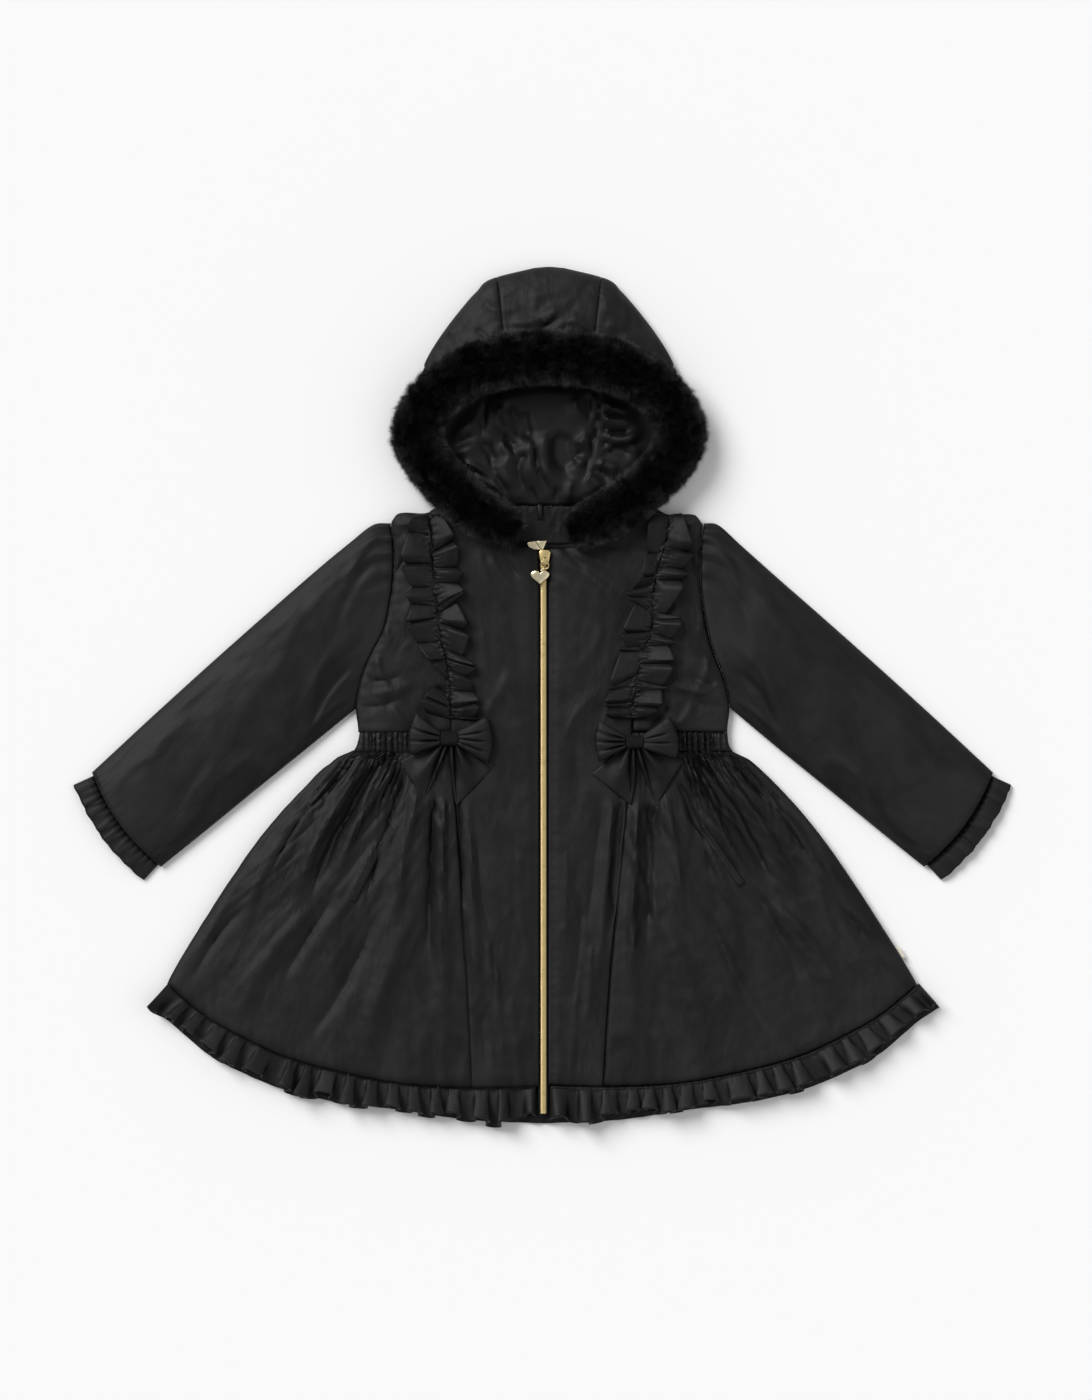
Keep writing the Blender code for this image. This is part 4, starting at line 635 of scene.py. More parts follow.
def make_groups():
    """Shared effects: the weave of the cloths, whose light and dark clouds of colour are partly their own
    unevenness and partly painted sheen, and the drawn or cast surface of the metals.
    """
    tree, given, result = new_group(
        "Woven cloth",
        [("Weave", "NodeSocketVector", None), ("Threads", "NodeSocketFloat", 2600.0),
         ("Crinkle", "NodeSocketFloat", 1.0)],
        [("Tone", "NodeSocketFloat"), ("Roughness", "NodeSocketFloat"), ("Height", "NodeSocketFloat")])
    scaled = tree.nodes.new("ShaderNodeVectorMath")
    scaled.operation = "SCALE"
    tree.links.new(given.outputs["Weave"], scaled.inputs[0])
    tree.links.new(given.outputs["Threads"], scaled.inputs["Scale"])
    weft = noise_node(tree, stretched(tree, scaled.outputs[0], (0.04, 1.0, 1.0)), 1.0, 2.0, 0.6)
    warp = noise_node(tree, stretched(tree, scaled.outputs[0], (1.0, 0.04, 1.0)), 1.0, 2.0, 0.6)
    threads = math_node(tree, "ADD", weft, warp)
    fall = stretched(tree, given.outputs["Weave"], (1.0, 0.34, 1.0))
    crinkle = noise_node(tree, fall, 58.0, 4.0, 0.58, "RIDGED_MULTIFRACTAL", 0.7)
    soft = noise_node(tree, fall, 26.0, 4.0, 0.6, distortion=0.5)
    # Light and dark clouds for the colour: partly the cloth's own uneven colour, partly painted sheen
    cloud = noise_node(tree, stretched(tree, given.outputs["Weave"], (1.0, 0.45, 1.0)), 21.0, 5.0, 0.62,
                       distortion=0.9)
    waves = math_node(tree, "MULTIPLY",
                      math_node(tree, "ADD", crinkle, math_node(tree, "MULTIPLY", soft, 3.0)),
                      given.outputs["Crinkle"])
    height = math_node(tree, "ADD", math_node(tree, "MULTIPLY", threads, 0.02),
                       math_node(tree, "MULTIPLY", waves, 0.5))
    tree.links.new(height, result.inputs["Height"])
    # The clouds and threads, which mix the cloth's own uneven colour with painted sheen
    tone_and_sheen = math_node(tree, "ADD", math_node(tree, "MULTIPLY", cloud, 0.85),
                     math_node(tree, "MULTIPLY", threads, 0.08))
    tree.links.new(tone_and_sheen, result.inputs["Tone"])
    rough = math_node(tree, "ADD", math_node(tree, "MULTIPLY", cloud, 0.2),
                      math_node(tree, "MULTIPLY", threads, 0.06))
    tree.links.new(rough, result.inputs["Roughness"])

    tree, given, result = new_group(
        "Worn metal", [("Place", "NodeSocketVector", None), ("Grain", "NodeSocketFloat", 900.0)],
        [("Wear", "NodeSocketFloat"), ("Height", "NodeSocketFloat")])
    fine = tree.nodes.new("ShaderNodeTexNoise")
    fine.inputs["Detail"].default_value = 3.0
    tree.links.new(given.outputs["Place"], fine.inputs["Vector"])
    tree.links.new(given.outputs["Grain"], fine.inputs["Scale"])
    wide = noise_node(tree, given.outputs["Place"], 160.0, 3.0, 0.6)
    tree.links.new(math_node(tree, "ADD", math_node(tree, "MULTIPLY", wide, 0.7),
                             math_node(tree, "MULTIPLY", fine.outputs["Fac"], 0.3)), result.inputs["Wear"])
    tree.links.new(fine.outputs["Fac"], result.inputs["Height"])


def new_material(name):
    made = bpy.data.materials.new(name)
    made.use_nodes = True
    return made.node_tree, made.node_tree.nodes["Principled BSDF"]


def ramp(tree, factor, stops):
    made = tree.nodes.new("ShaderNodeValToRGB")
    elements = made.color_ramp.elements
    while len(elements) < len(stops):
        elements.new(0.5)
    for element, (place, colour) in zip(elements, stops):
        element.position = place
        element.color = (*colour, 1.0)
    tree.links.new(factor, made.inputs["Fac"])
    return made.outputs["Color"]


def shade(colour, share):
    return tuple(c * share for c in colour)


def woven(name, colour, threads, crinkle, roughness, level, sheen, bump, tone_and_sheen=(0.45, 1.75)):
    """A cloth, whose weave and crinkles follow the piece's own UV map."""
    tree, shader = new_material(name)
    weave = tree.nodes.new("ShaderNodeUVMap")
    weave.uv_map = "weave"
    effect = group_node(tree, "Woven cloth", Threads=threads, Crinkle=crinkle)
    tree.links.new(weave.outputs["UV"], effect.inputs["Weave"])
    # The base colour runs between the two given shares of the cloth's colour by the clouds: painted sheen
    # mixed with the cloth's own uneven colour
    colours = ramp(tree, effect.outputs["Tone"],
                   [(0.4, shade(colour, tone_and_sheen[0])), (0.64, shade(colour, tone_and_sheen[1]))])
    tree.links.new(colours, shader.inputs["Base Color"])
    tree.links.new(math_node(tree, "ADD", effect.outputs["Roughness"], roughness - 0.12),
                   shader.inputs["Roughness"])
    shader.inputs["Specular IOR Level"].default_value = level
    shader.inputs["Sheen Weight"].default_value = sheen
    shader.inputs["Sheen Roughness"].default_value = 0.4
    bumped = tree.nodes.new("ShaderNodeBump")
    bumped.inputs["Strength"].default_value = bump
    bumped.inputs["Distance"].default_value = 0.0026
    tree.links.new(effect.outputs["Height"], bumped.inputs["Height"])
    tree.links.new(bumped.outputs["Normal"], shader.inputs["Normal"])


def metal(name, colour, roughness, grain):
    tree, shader = new_material(name)
    place = tree.nodes.new("ShaderNodeTexCoord")
    effect = group_node(tree, "Worn metal", Grain=grain)
    tree.links.new(place.outputs["Object"], effect.inputs["Place"])
    tree.links.new(ramp(tree, effect.outputs["Wear"], [(0.35, shade(colour, 0.86)), (0.7, colour)]),
                   shader.inputs["Base Color"])
    tree.links.new(math_node(tree, "ADD", math_node(tree, "MULTIPLY", effect.outputs["Wear"], 0.2),
                             roughness - 0.1), shader.inputs["Roughness"])
    shader.inputs["Metallic"].default_value = 1.0
    bumped = tree.nodes.new("ShaderNodeBump")
    bumped.inputs["Strength"].default_value = 0.08
    bumped.inputs["Distance"].default_value = 0.0002
    tree.links.new(effect.outputs["Height"], bumped.inputs["Height"])
    tree.links.new(bumped.outputs["Normal"], shader.inputs["Normal"])


def hair(name, tip):
    """Hair: near black at its root and lighter towards its tip as painted highlight, scaled by the value that
    each strand carries, which mixes random variation with painted sheen.
    """
    tree, shader = new_material(name)
    strand = tree.nodes.new("ShaderNodeUVMap")
    strand.uv_map = "strand"
    parts = tree.nodes.new("ShaderNodeSeparateXYZ")
    tree.links.new(strand.outputs["UV"], parts.inputs[0])
    along = math_node(tree, "POWER", parts.outputs["Y"], 1.6)
    light = math_node(tree, "MULTIPLY", along, parts.outputs["X"])
    # Painted highlight: the colour rises from near black at the root to the tip colour towards the tip
    tree.links.new(ramp(tree, light, [(0.0, shade(tip, 0.02)), (1.0, tip)]), shader.inputs["Base Color"])
    shader.inputs["Roughness"].default_value = 0.6
    shader.inputs["Specular IOR Level"].default_value = 0.03


def make_finishes(colours):
    make_groups()
    woven("black taffeta", tuple(colours.cloth), 2600.0, 0.6, 0.54, 0.24, 0.0, 0.75)
    # The satin's darker colour is partly painted shade of the hood's hollow and under the fur
    woven("black satin", tuple(colours.satin), 3200.0, 0.2, 0.5, 0.26, 0.0, 0.35)
    woven("zip tape", (0.011, 0.011, 0.011), 900.0, 0.2, 0.8, 0.2, 0.1, 0.8)
    woven("cream tape", tuple(colours.tab), 1100.0, 0.2, 0.75, 0.3, 0.1, 0.6, (0.85, 1.05))
    woven("thread", (0.011, 0.011, 0.011), 2000.0, 0.0, 0.6, 0.3, 0.0, 0.2)
    metal("gold plate", tuple(colours.gold), 0.3, 900.0)
    metal("pale gold", (0.95, 0.84, 0.58), 0.26, 700.0)
    hair("black fur", tuple(colours.fur))


# Panels

def strip(inner, outer, bottom, top):
    """Places at u from the inner to the outer edge line and v from the bottom to the top line."""
    def height(line, u):
        y = line(mix(inner(0 * u), outer(0 * u), u))
        for _ in range(6):
            y = mix(y, line(mix(inner(y), outer(y), u)), 0.8)
        return y

    def place(u, v):
        y = mix(height(bottom, u), height(top, u), v)
        return mix(inner(y), outer(y), u), y

    return place


def level(y):
    """A line straight across the coat."""
    return lambda x: y + 0 * x


def front_height(side, x, y):
    inset = np.abs(side_x(side, y) - x) * 0.85
    high = rounded(inset, FRONT_TOP, SIDE_EDGE)
    high = np.minimum(high, rounded(neck_y(x) - y, FRONT_TOP, SIDE_EDGE + 1.5, 14.0))
    return np.minimum(high, rounded(y - hem_y(x), FRONT_TOP, HEM_EDGE, 12.0))


def under_bow(side, x, y):
    """1 right under a bow's loops and tails."""
    cx, cy = BOWS[side]["knot"][:2]
    return 1 - ease((np.hypot((x - cx) / 54, (y - cy + 17) / 50) - 0.85) / 0.25)


def seam_dip(gap, depth=1.1, reach=1.7):
    """How far cloth draws in at a distance from its seam."""
    return depth * np.exp(-(gap / reach) ** 2)


def gather_wave(side, x, y):
    inner, outer = front_seam_x(side, CASING_TOP), side_x(side, CASING_TOP)
    spread = mix(1.0, 1.35, ease((CASING_END - y) / 60))
    share = (x - inner) / (outer - inner) / spread
    turn = 2 * math.pi * 15 * share + 1.6 * np.sin(9 * share) + 1.0 * np.sin(23 * share)
    return np.cos(turn) * (0.75 + 0.5 * np.sin(11 * share + 1)) + 0.35 * np.cos(1.7 * turn)


def centre_height(side, x, y):
    clear = 1 - 0.85 * under_bow(side, x, y)
    edge = ease(np.abs(x - ZIP_X) / 16 - 0.3)
    gap = np.abs(x - ZIP_X) - TAPE_HALF
    z = front_height(side, x, y) - (FRONT_TOP - ZIP_EDGE) * (1 - ease(gap / 12))
    z += clear * edge * 1.5 * creases(f"centre_{side}", x, y)
    z += (0.25 + 0.75 * edge) * (1.0 * crumple(x, y * 0.7, 21, 1) + 0.4 * crumple(x, y * 0.8, 9, 2)) - 0.3
    z += 0.3 * pucker(np.abs(gap - 4), y, 5, 9, 4)
    z -= seam_dip(gap - 5.2, 0.5, 0.9)  # the topstitched line beside the zip
    return z - seam_dip(np.abs(front_seam_x(side, y) - x) - 0.4)


def side_height(side, x, y):
    z = front_height(side, x, y) + 1.5 * creases(f"side_{side}", x, y)
    z += 0.7 * crumple(x, y, 15, 11) + 0.3 * crumple(x, y, 6, 12) - 0.3
    arm = np.abs(side_x(side, y) - x)
    z += 0.5 * pucker(arm, y, 7, 11, 5) + 0.5 * pucker(y - CASING_TOP, x, 9, 6, 6)
    return z - seam_dip(y - CASING_TOP) - seam_dip(np.abs(front_seam_x(side, y) - x) - 0.4)


def skirt_height(side, x, y):
    below = CASING_END - y
    clear = 1 - 0.9 * under_bow(side, x, y)
    edge = ease(np.abs(side_x(side, y) - x) / 24)
    hem = ease((y - hem_y(x)) / 26)
    folds = creases(f"skirt_{side}", x, y) * ease(below / 16)
    gathers = 3.6 * np.exp(-(np.maximum(0.0, below) / 38) ** 1.6) * gather_wave(side, x, y)
    radial = (x - ZIP_X) / (np.maximum(30.0, 60.0 - y))
    fine = 1.1 * noise(radial * 26, y / 90, 21) + 0.8 * ridges(radial * 17, y / 120, 22)
    z = front_height(side, x, y) + clear * edge * (hem * folds * 2.1 + gathers)
    z += clear * edge * fine * ease(below / 30) * (1 - 0.6 * ease((below - 120) / 160))
    z += 0.8 * crumple(x, y, 18, 23) + 0.3 * crumple(x, y, 7, 24) - 0.4
    z += 0.8 * pucker(y - hem_y(x), x, 12, 11, 7)
    return z - seam_dip(below) - seam_dip(y - hem_y(x)) - seam_dip(np.abs(front_seam_x(side, y) - x) - 0.4)


def casing_height(side, x, y):
    middle = (CASING_TOP + CASING_END) / 2
    half = (CASING_TOP - CASING_END) / 2
    bulge = 1 - ((y - middle) / half) ** 2
    edge = ease(np.abs(side_x(side, y) - x) / 14)
    clear = 1 - 0.7 * under_bow(side, x, y)
    wave = gather_wave(side, x, y) * (0.6 + 0.6 * bulge)
    z = front_height(side, x, y) - 1.4 + 1.6 * bulge + clear * (0.4 + 0.6 * edge) * 2.4 * wave
    z -= seam_dip(np.abs(y - middle) - 3.4, 0.5, 0.8)  # the two rows of elastic stitching
    return z - seam_dip(y - CASING_END) - seam_dip(CASING_TOP - y)


PANELS = (
    # name, columns, rows, cut width and length, share of width times length that it fills
    ("front_centre", 38, 190, 96, 580, 0.84),
    ("front_side", 36, 84, 92, 235, 0.62),
    ("front_casing", 96, 12, 130, 20, 1.0),
    ("front_skirt", 96, 108, 330, 360, 0.52),
)
HEIGHTS = {"front_centre": centre_height, "front_side": side_height, "front_casing": casing_height,
           "front_skirt": skirt_height}


def panel_place(kind, side):
    out = sign(side)
    seam, edge = (lambda y: front_seam_x(side, y) + out * 0.4), (lambda y: side_x(side, y))
    if kind == "front_centre":
        return strip(lambda y: ZIP_X + out * (TAPE_HALF + 0.35) + 0 * y,
                     lambda y: front_seam_x(side, y) - out * 0.4, hem_y, neck_y)
    if kind == "front_side":
        return strip(seam, edge, level(CASING_TOP + SEAM_GAP), neck_y)
    if kind == "front_casing":
        return strip(seam, edge, level(CASING_END + SEAM_GAP), level(CASING_TOP - SEAM_GAP))
    return strip(seam, edge, hem_y, level(CASING_END - SEAM_GAP))


class COAT_OT_fronts(bpy.types.Operator):
    """Builds the padded front panels and the gathered waist casings"""

    bl_idname = "coat.fronts"
    bl_label = "Fronts and waist"

    def execute(self, context):
        shell = context.scene.coat_sizes.shell / MM
        for side in SIDES:
            for kind, across, along, wide, long, share in PANELS:
                place, high = panel_place(kind, side), HEIGHTS[kind]

                def surface(u, v):
                    x, y = place(u, v)
                    z = high(side, x, y)
                    drop = np.exp(-(np.abs(side_x(side, y) - x) / 1.6) ** 2)
                    return x, y, np.maximum(z - 2.2 * drop, FRONT_UNDER + shell + 0.1)

                name = f"{kind}_{side}"
                piece = cloth(name + "_cloth", across, along, surface, cut=(wide, long), wall=shell,
                              node=name)
        return {"FINISHED"}


def from_sides(x, y):
    """Distance in from the nearer side seam."""
    return np.minimum(np.abs(side_x("l", y) - x), np.abs(side_x("r", y) - x))


def back_under(x, y):
    """Underside of the back, which rests on the surface in most places and is creased in others."""
    lift = np.maximum(0.0, creases("back", x, y) + 0.5 * crumple(x, y, 16, 31) - 0.35)
    return np.minimum(lift, 2.4)


class COAT_OT_back(bpy.types.Operator):
    """Builds the back panels and the back waist, whose undersides rest on the surface"""

    bl_idname = "coat.back"
    bl_label = "Back"

    def execute(self, context):
        whole = (lambda y: side_x("l", y), lambda y: side_x("r", y))

        def shoulder(x):
            return neck_y(np.maximum(np.abs(x - SHOULDER_MIDDLE), 97.0) + SHOULDER_MIDDLE)

        rows = (
            ("back_bodice", 44, 36, level(CASING_TOP + SEAM_GAP),
             lambda x: np.minimum(HOOD_FOOT - 0.3, shoulder(x)), 372, 228, 0.86),
            ("back_casing", 110, 6, level(CASING_END + SEAM_GAP),
             level(CASING_TOP - SEAM_GAP), 376, 20, 1.0),
            ("back_skirt", 84, 56, hem_y, level(CASING_END - SEAM_GAP), 780, 340, 0.72),
        )
        for name, across, along, bottom, top, wide, long, share in rows:
            place = strip(*whole, bottom, top)

            def over(u, v):
                x, y = place(u, v)
                return x, y, rounded(from_sides(x, y) * 0.85, BACK_TOP, 4.0, 14.0)

            def under(u, v):
                x, y = place(u, v)
                gathers = 0.0
                if name != "back_bodice":
                    near = np.exp(-np.maximum(0.0, CASING_END - y) / 26)
                    gathers = 1.1 * near * (1 + np.cos(x / 1.75 + 1.5 * noise(x / 20, 0.5, 8)))
                z = back_under(x, y) + gathers + 1.6 * np.exp(-(from_sides(x, y) / 3) ** 2)
                return x, y, np.clip(z, 0.0, BACK_TOP - 2.6)

            piece = cloth(name + "_cloth", across, along, over, cut=(wide, long), under=under, node=name)
        return {"FINISHED"}


# Sleeves

def sleeve_place(side, t, v):
    """Plan of the laid sleeve: t from its upper to its lower edge, v from the armhole to the cuff."""
    ux, uy, lx, ly = (read(SLEEVE, v, c) for c in (1, 2, 3, 4))
    x, y = mix(ux, lx, t), mix(uy, ly, t)
    length = np.hypot(lx - ux, ly - uy)
    out_x, out_y = (ly - uy) / length, -(lx - ux) / length
    flip = np.where(out_x > 0, -1.0, 1.0)
    bulge = CUFF_BULGE * np.sin(math.pi * np.clip(t, 0, 1)) * v ** 3
    x, y = x + out_x * flip * bulge, y + out_y * flip * bulge
    near = np.maximum(0.0, 1 - v / 0.3) ** 2
    start = mix(SLEEVE[0][1], SLEEVE[0][3], t)
    seam_y = mix(SLEEVE[0][2], SLEEVE[0][4], t)
    if side == "l":
        return x + near * (side_x("l", seam_y) - 0.9 - start), y
    return -x + near * (side_x("r", seam_y) + 0.9 + start), y


class COAT_OT_sleeves(bpy.types.Operator):
    """Builds the two padded sleeves as tubes laid flat"""

    bl_idname = "coat.sleeves"
    bl_label = "Sleeves"

    def execute(self, context):
        shell = context.scene.coat_sizes.shell / MM
        for side in SIDES:
            def surface(u, v):
                v = v ** 1.15
                turn = 2 * math.pi * u
                cosine = np.cos(turn)
                t = 0.5 - 0.5 * np.sign(cosine) * np.abs(cosine) ** 0.75
                full = mix(FRONT_TOP, 21.0, ease(v / 0.25)) - 3.0 * ease((v - 0.55) / 0.45)
                arch = np.sqrt(np.maximum(0.0, 1 - (2 * t - 1) ** 2))
                x, y = sleeve_place(side, t, v)
                gathers = np.exp(-v / 0.075) * np.cos(2 * math.pi * 11 * t + 1.5 * np.sin(9 * t))
                gathers *= np.exp(-(t / 0.3) ** 2) + 0.1
                fine = creases(f"sleeve_{side}", x, y) + 0.8 * crumple(x, y, 20, 41)
                fine += 0.3 * crumple(x, y, 8, 42) - 0.4 + 2.6 * gathers
                fine += 0.8 * pucker((1 - v) * 300, t * 115, 10, 6.5, 44)
                top = 5.0 + (full - 5.0) * arch + fine * arch ** 0.6
                top -= (seam_dip(v * 330, 1.4, 2.2) + seam_dip((1 - v) * 330, 1.0, 2.0)) * arch
                low = 5.0 - 5.0 * np.minimum(1.0, arch * 2.2)
                low += np.maximum(0.0, 0.9 * creases(f"sleeve_{side}", x, y)) * ease(arch * 2 - 0.6)
                return x, y, np.where(np.sin(turn) >= 0, np.maximum(top, 5.0), np.maximum(low, 0.0))

            piece = cloth(f"sleeve_{side}_cloth", 112, 76, surface, cut=(300, 345), wall=shell, closed=True,
                          sharp=0, node=f"sleeve_{side}")
        return {"FINISHED"}


class COAT_OT_cuffs(bpy.types.Operator):
    """Builds the gathered frill round each cuff"""

    bl_idname = "coat.cuffs"
    bl_label = "Cuff frills"

    def execute(self, context):
        wall = context.scene.coat_sizes.single / MM
        for side in SIDES:
            def surface(u, v):
                front = u <= 0.5
                share = np.where(front, 2 * u, 2 * (1 - u))
                full = np.sin(math.pi * np.clip(share, 0, 1)) ** 0.4
                t = 0.5 + (share - 0.5) * 0.94
                x, y = sleeve_place(side, t, 1.0 + 0 * t)
                x1, y1 = sleeve_place(side, t + 0.01, 1.0 + 0 * t)
                x0, y0 = sleeve_place(side, t - 0.01, 1.0 + 0 * t)
                length = np.hypot(x1 - x0, y1 - y0)
                ax, ay = (x1 - x0) / length, (y1 - y0) / length
                ox, oy = ay, -ax
                flip = np.where((ox > 0) == (side == "l"), -1.0, 1.0)
                uneven = noise(share * 7, 2.5, 51 if side == "l" else 57)
                phase = 2 * math.pi * CUFF_WAVES * share + 2.4 * uneven
                wave = 0.5 - 0.5 * np.cos(phase)
                reach = CUFF_RUFFLE * (1 + 0.02 * np.sin(phase) + 0.05 * uneven)
                along = 0.4 + reach * v
                side_step = 0.9 * v * np.sin(2 * phase) * full
                gathers = 1.3 * np.cos(2 * math.pi * 17 * share + 2 * uneven) * np.exp(-v * 4.5)
                swell = 2.6 * np.sin(math.pi * np.clip(0.12 + 0.8 * v, 0, 1)) ** 0.8
                rise = np.where(front, full * (5.0 + swell + 1.5 * v * wave + gathers),
                                -2.6 * full + full * 1.5 * wave * v)
                dip = (seam_dip(v * 22 - 2.2, 1.6, 1.3) + seam_dip(v * 22, 1.5, 1.0)) * full
                dip = np.where(front, dip, 0)
                return x + flip * ox * along + ax * side_step, y + flip * oy * along + ay * side_step, \
                    np.maximum(2.6 + rise - dip, 0.0)

            piece = cloth(f"cuff_ruffle_{side}_cloth", 260, 8, surface, cut=(430, 22), wall=wall, closed=True,
                          node=f"cuff_ruffle_{side}")
        return {"FINISHED"}


# Hem ruffle

def flared(d):
    """How far from the closing line a place on the hem's seam ends at the frill's edge."""
    return d + 21.0 * ease((d - 120) / 240)


def hem_place(side, s, v):
    """Plan of the front frill: s from the closing line to the side, v from the seam to the edge."""
    d = mix(7.0, HEM_REACH, 1 - (1 - s) ** 1.05)
    out = sign(side)
    seam_y = read(HEM_LINE, d, 1) - 0.3
    far = flared(d)
    edge_y = read(HEM_LINE, far, 2)
    return ZIP_X + out * mix(d, far, v), mix(seam_y, edge_y, v)


class COAT_OT_hem(bpy.types.Operator):
    """Builds the gathered frill along the hem, front and back"""

    bl_idname = "coat.hem"
    bl_label = "Hem frill"

    def execute(self, context):
        wall = context.scene.coat_sizes.single / MM
        for side in SIDES:
            seed = 61 if side == "l" else 67

            def surface(u, v):
                jitter = noise(u * 15, v * 0.6, seed)
                phase = 2 * math.pi * HEM_WAVES * u + 2.6 * noise(u * 11, 0.5, seed + 1)
                phase = phase + 0.5 * v * noise(u * 23, 1.5, seed + 2)
                wave = 0.5 - 0.5 * np.cos(phase)
                wave = wave ** (0.75 + 0.25 * v)
                ends = np.minimum(1.0, np.minimum(8 * u, 8 * (1 - u)))
                x, y = hem_place(side, u + 0.013 * v * np.sin(2 * phase + 0.8 * jitter) * ends,
                                 v * (1.0 + 0.22 * jitter - 0.16 * wave))
                small = 0.7 * np.cos(3 * phase + 2 * jitter) * np.exp(-v * 5)
                small = small + 0.4 * crumple(x, y, 8, seed + 4)
                z = FRONT_UNDER + 1.3 + (1.0 + (1.4 + HEM_RISE * (1 + 0.5 * jitter) * v) * wave)
                z = z * ease(u * 60 + 0.4) + (1 - ease(u * 60 + 0.4)) * (FRONT_UNDER + 1.5)
                z += small * ends + 2.2 * seam_dip(v * 34, 1.0, 2.2) - seam_dip(v * 34 - 3.6, 1.1, 1.1)
                return x, y, np.maximum(z, FRONT_UNDER + 1.2)

            piece = cloth(f"hem_ruffle_{side}_cloth", 330, 12, surface, cut=(700, 36), wall=wall,
                          node=f"hem_ruffle_{side}")

        def back(u, v):
            s = np.abs(2 * u - 1)
            phase = 2 * math.pi * BACK_HEM_WAVES * s + 1.2 * noise(s * 9, np.where(u < 0.5, 0.5, 3.5), 71)
            wave = np.maximum(0.0, 0.25 - 0.75 * np.cos(phase))
            out = np.where(u < 0.5, -1.0, 1.0)
            d = HEM_REACH * s
            far = flared(d)
            x = ZIP_X + out * mix(d, far, v)
            y = mix(read(HEM_LINE, d, 1) - 0.3, read(HEM_LINE, far, 2), v)
            return x, y, 1.2 + 3.6 * wave * v

        piece = cloth("hem_ruffle_back_cloth", 380, 5, back, cut=(1250, 36), wall=wall,
                      node="hem_ruffle_back")
        return {"FINISHED"}


# Chest ruffles

def flap_profile(f, peak):
    """Height across one flattened fold: a slow rise to its crest and a steep fall past it."""
    rise = np.clip(f / peak, 0, 1) ** 0.55
    fall = np.clip((1 - f) / (1 - peak), 0, 1) ** 0.55
    return np.minimum(rise, fall)


def chest_surface(side):
    column = 1 if side == "l" else 2

    def surface(u, v):
        across = 2 * u - 1
        spread = np.abs(across)
        x, y, z = (np.zeros(len(u)) for _ in range(3))
        for edge, mask in (("l", across < 0), ("r", across >= 0)):
            rows = np.array(CHEST_FLAPS[(side, edge)], float)
            inner, outer = rows[:, 0], rows[:, 1]
            at = v[mask] * (len(rows) - 1)  # whole numbers are the ends of folds
            k = np.clip(np.floor(at).astype(int), 0, len(rows) - 2)
            f = at - k
            s = spread[mask]
            y_in, y_out = mix(inner[k], inner[k + 1], f), mix(outer[k], outer[k + 1], f)
            yy = mix(y_in, y_out, s)
            line = read(CHEST_LINE, y_in, column)
            reach = mix(rows[k, 2], rows[k + 1, 2], f)
            peak = rows[k + 1, 3]
            crest = flap_profile(f, peak)
            bulge = 1 + (0.3 * crest - 0.22) * s
            xx = line + (reach - line) * s * bulge
            size = np.minimum(1.0, np.abs(outer[k] - outer[k + 1]) / 14 + 0.35)
            rise = CHEST_RISE * size * s ** 0.55 * crest
            rise = rise + 1.1 * np.maximum(0, np.cos(9 * math.pi * f)) * np.exp(-s * 6)
            rise = rise + 0.9 * np.exp(-(s / 0.16) ** 2)
            rise = rise + 0.35 * crumple(xx, yy, 7, 81) * s
            rise = rise + 2.4 * noise(xx / 3.4, yy / 2.9, 82) * np.exp(-(s / 0.3) ** 2)
            x[mask], y[mask], z[mask] = xx, yy, rise
        base = front_height(side, x, np.minimum(y, neck_y(x) - 0.5)) + 1.2 + CHEST_WALL
        return x, y, base + np.maximum(z, 0.0)

    return surface


class COAT_OT_chest_ruffles(bpy.types.Operator):
    """Builds the two ruffles over the chest, gathered down their middle"""

    bl_idname = "coat.chest_ruffles"
    bl_label = "Chest ruffles"

    def execute(self, context):
        for side in SIDES:
            piece = cloth(f"chest_ruffle_{side}_cloth", 24, 13 * 20, chest_surface(side), cut=(48, 420),
                          wall=CHEST_WALL, sharp=60, node=f"chest_ruffle_{side}")
        return {"FINISHED"}


# Bows

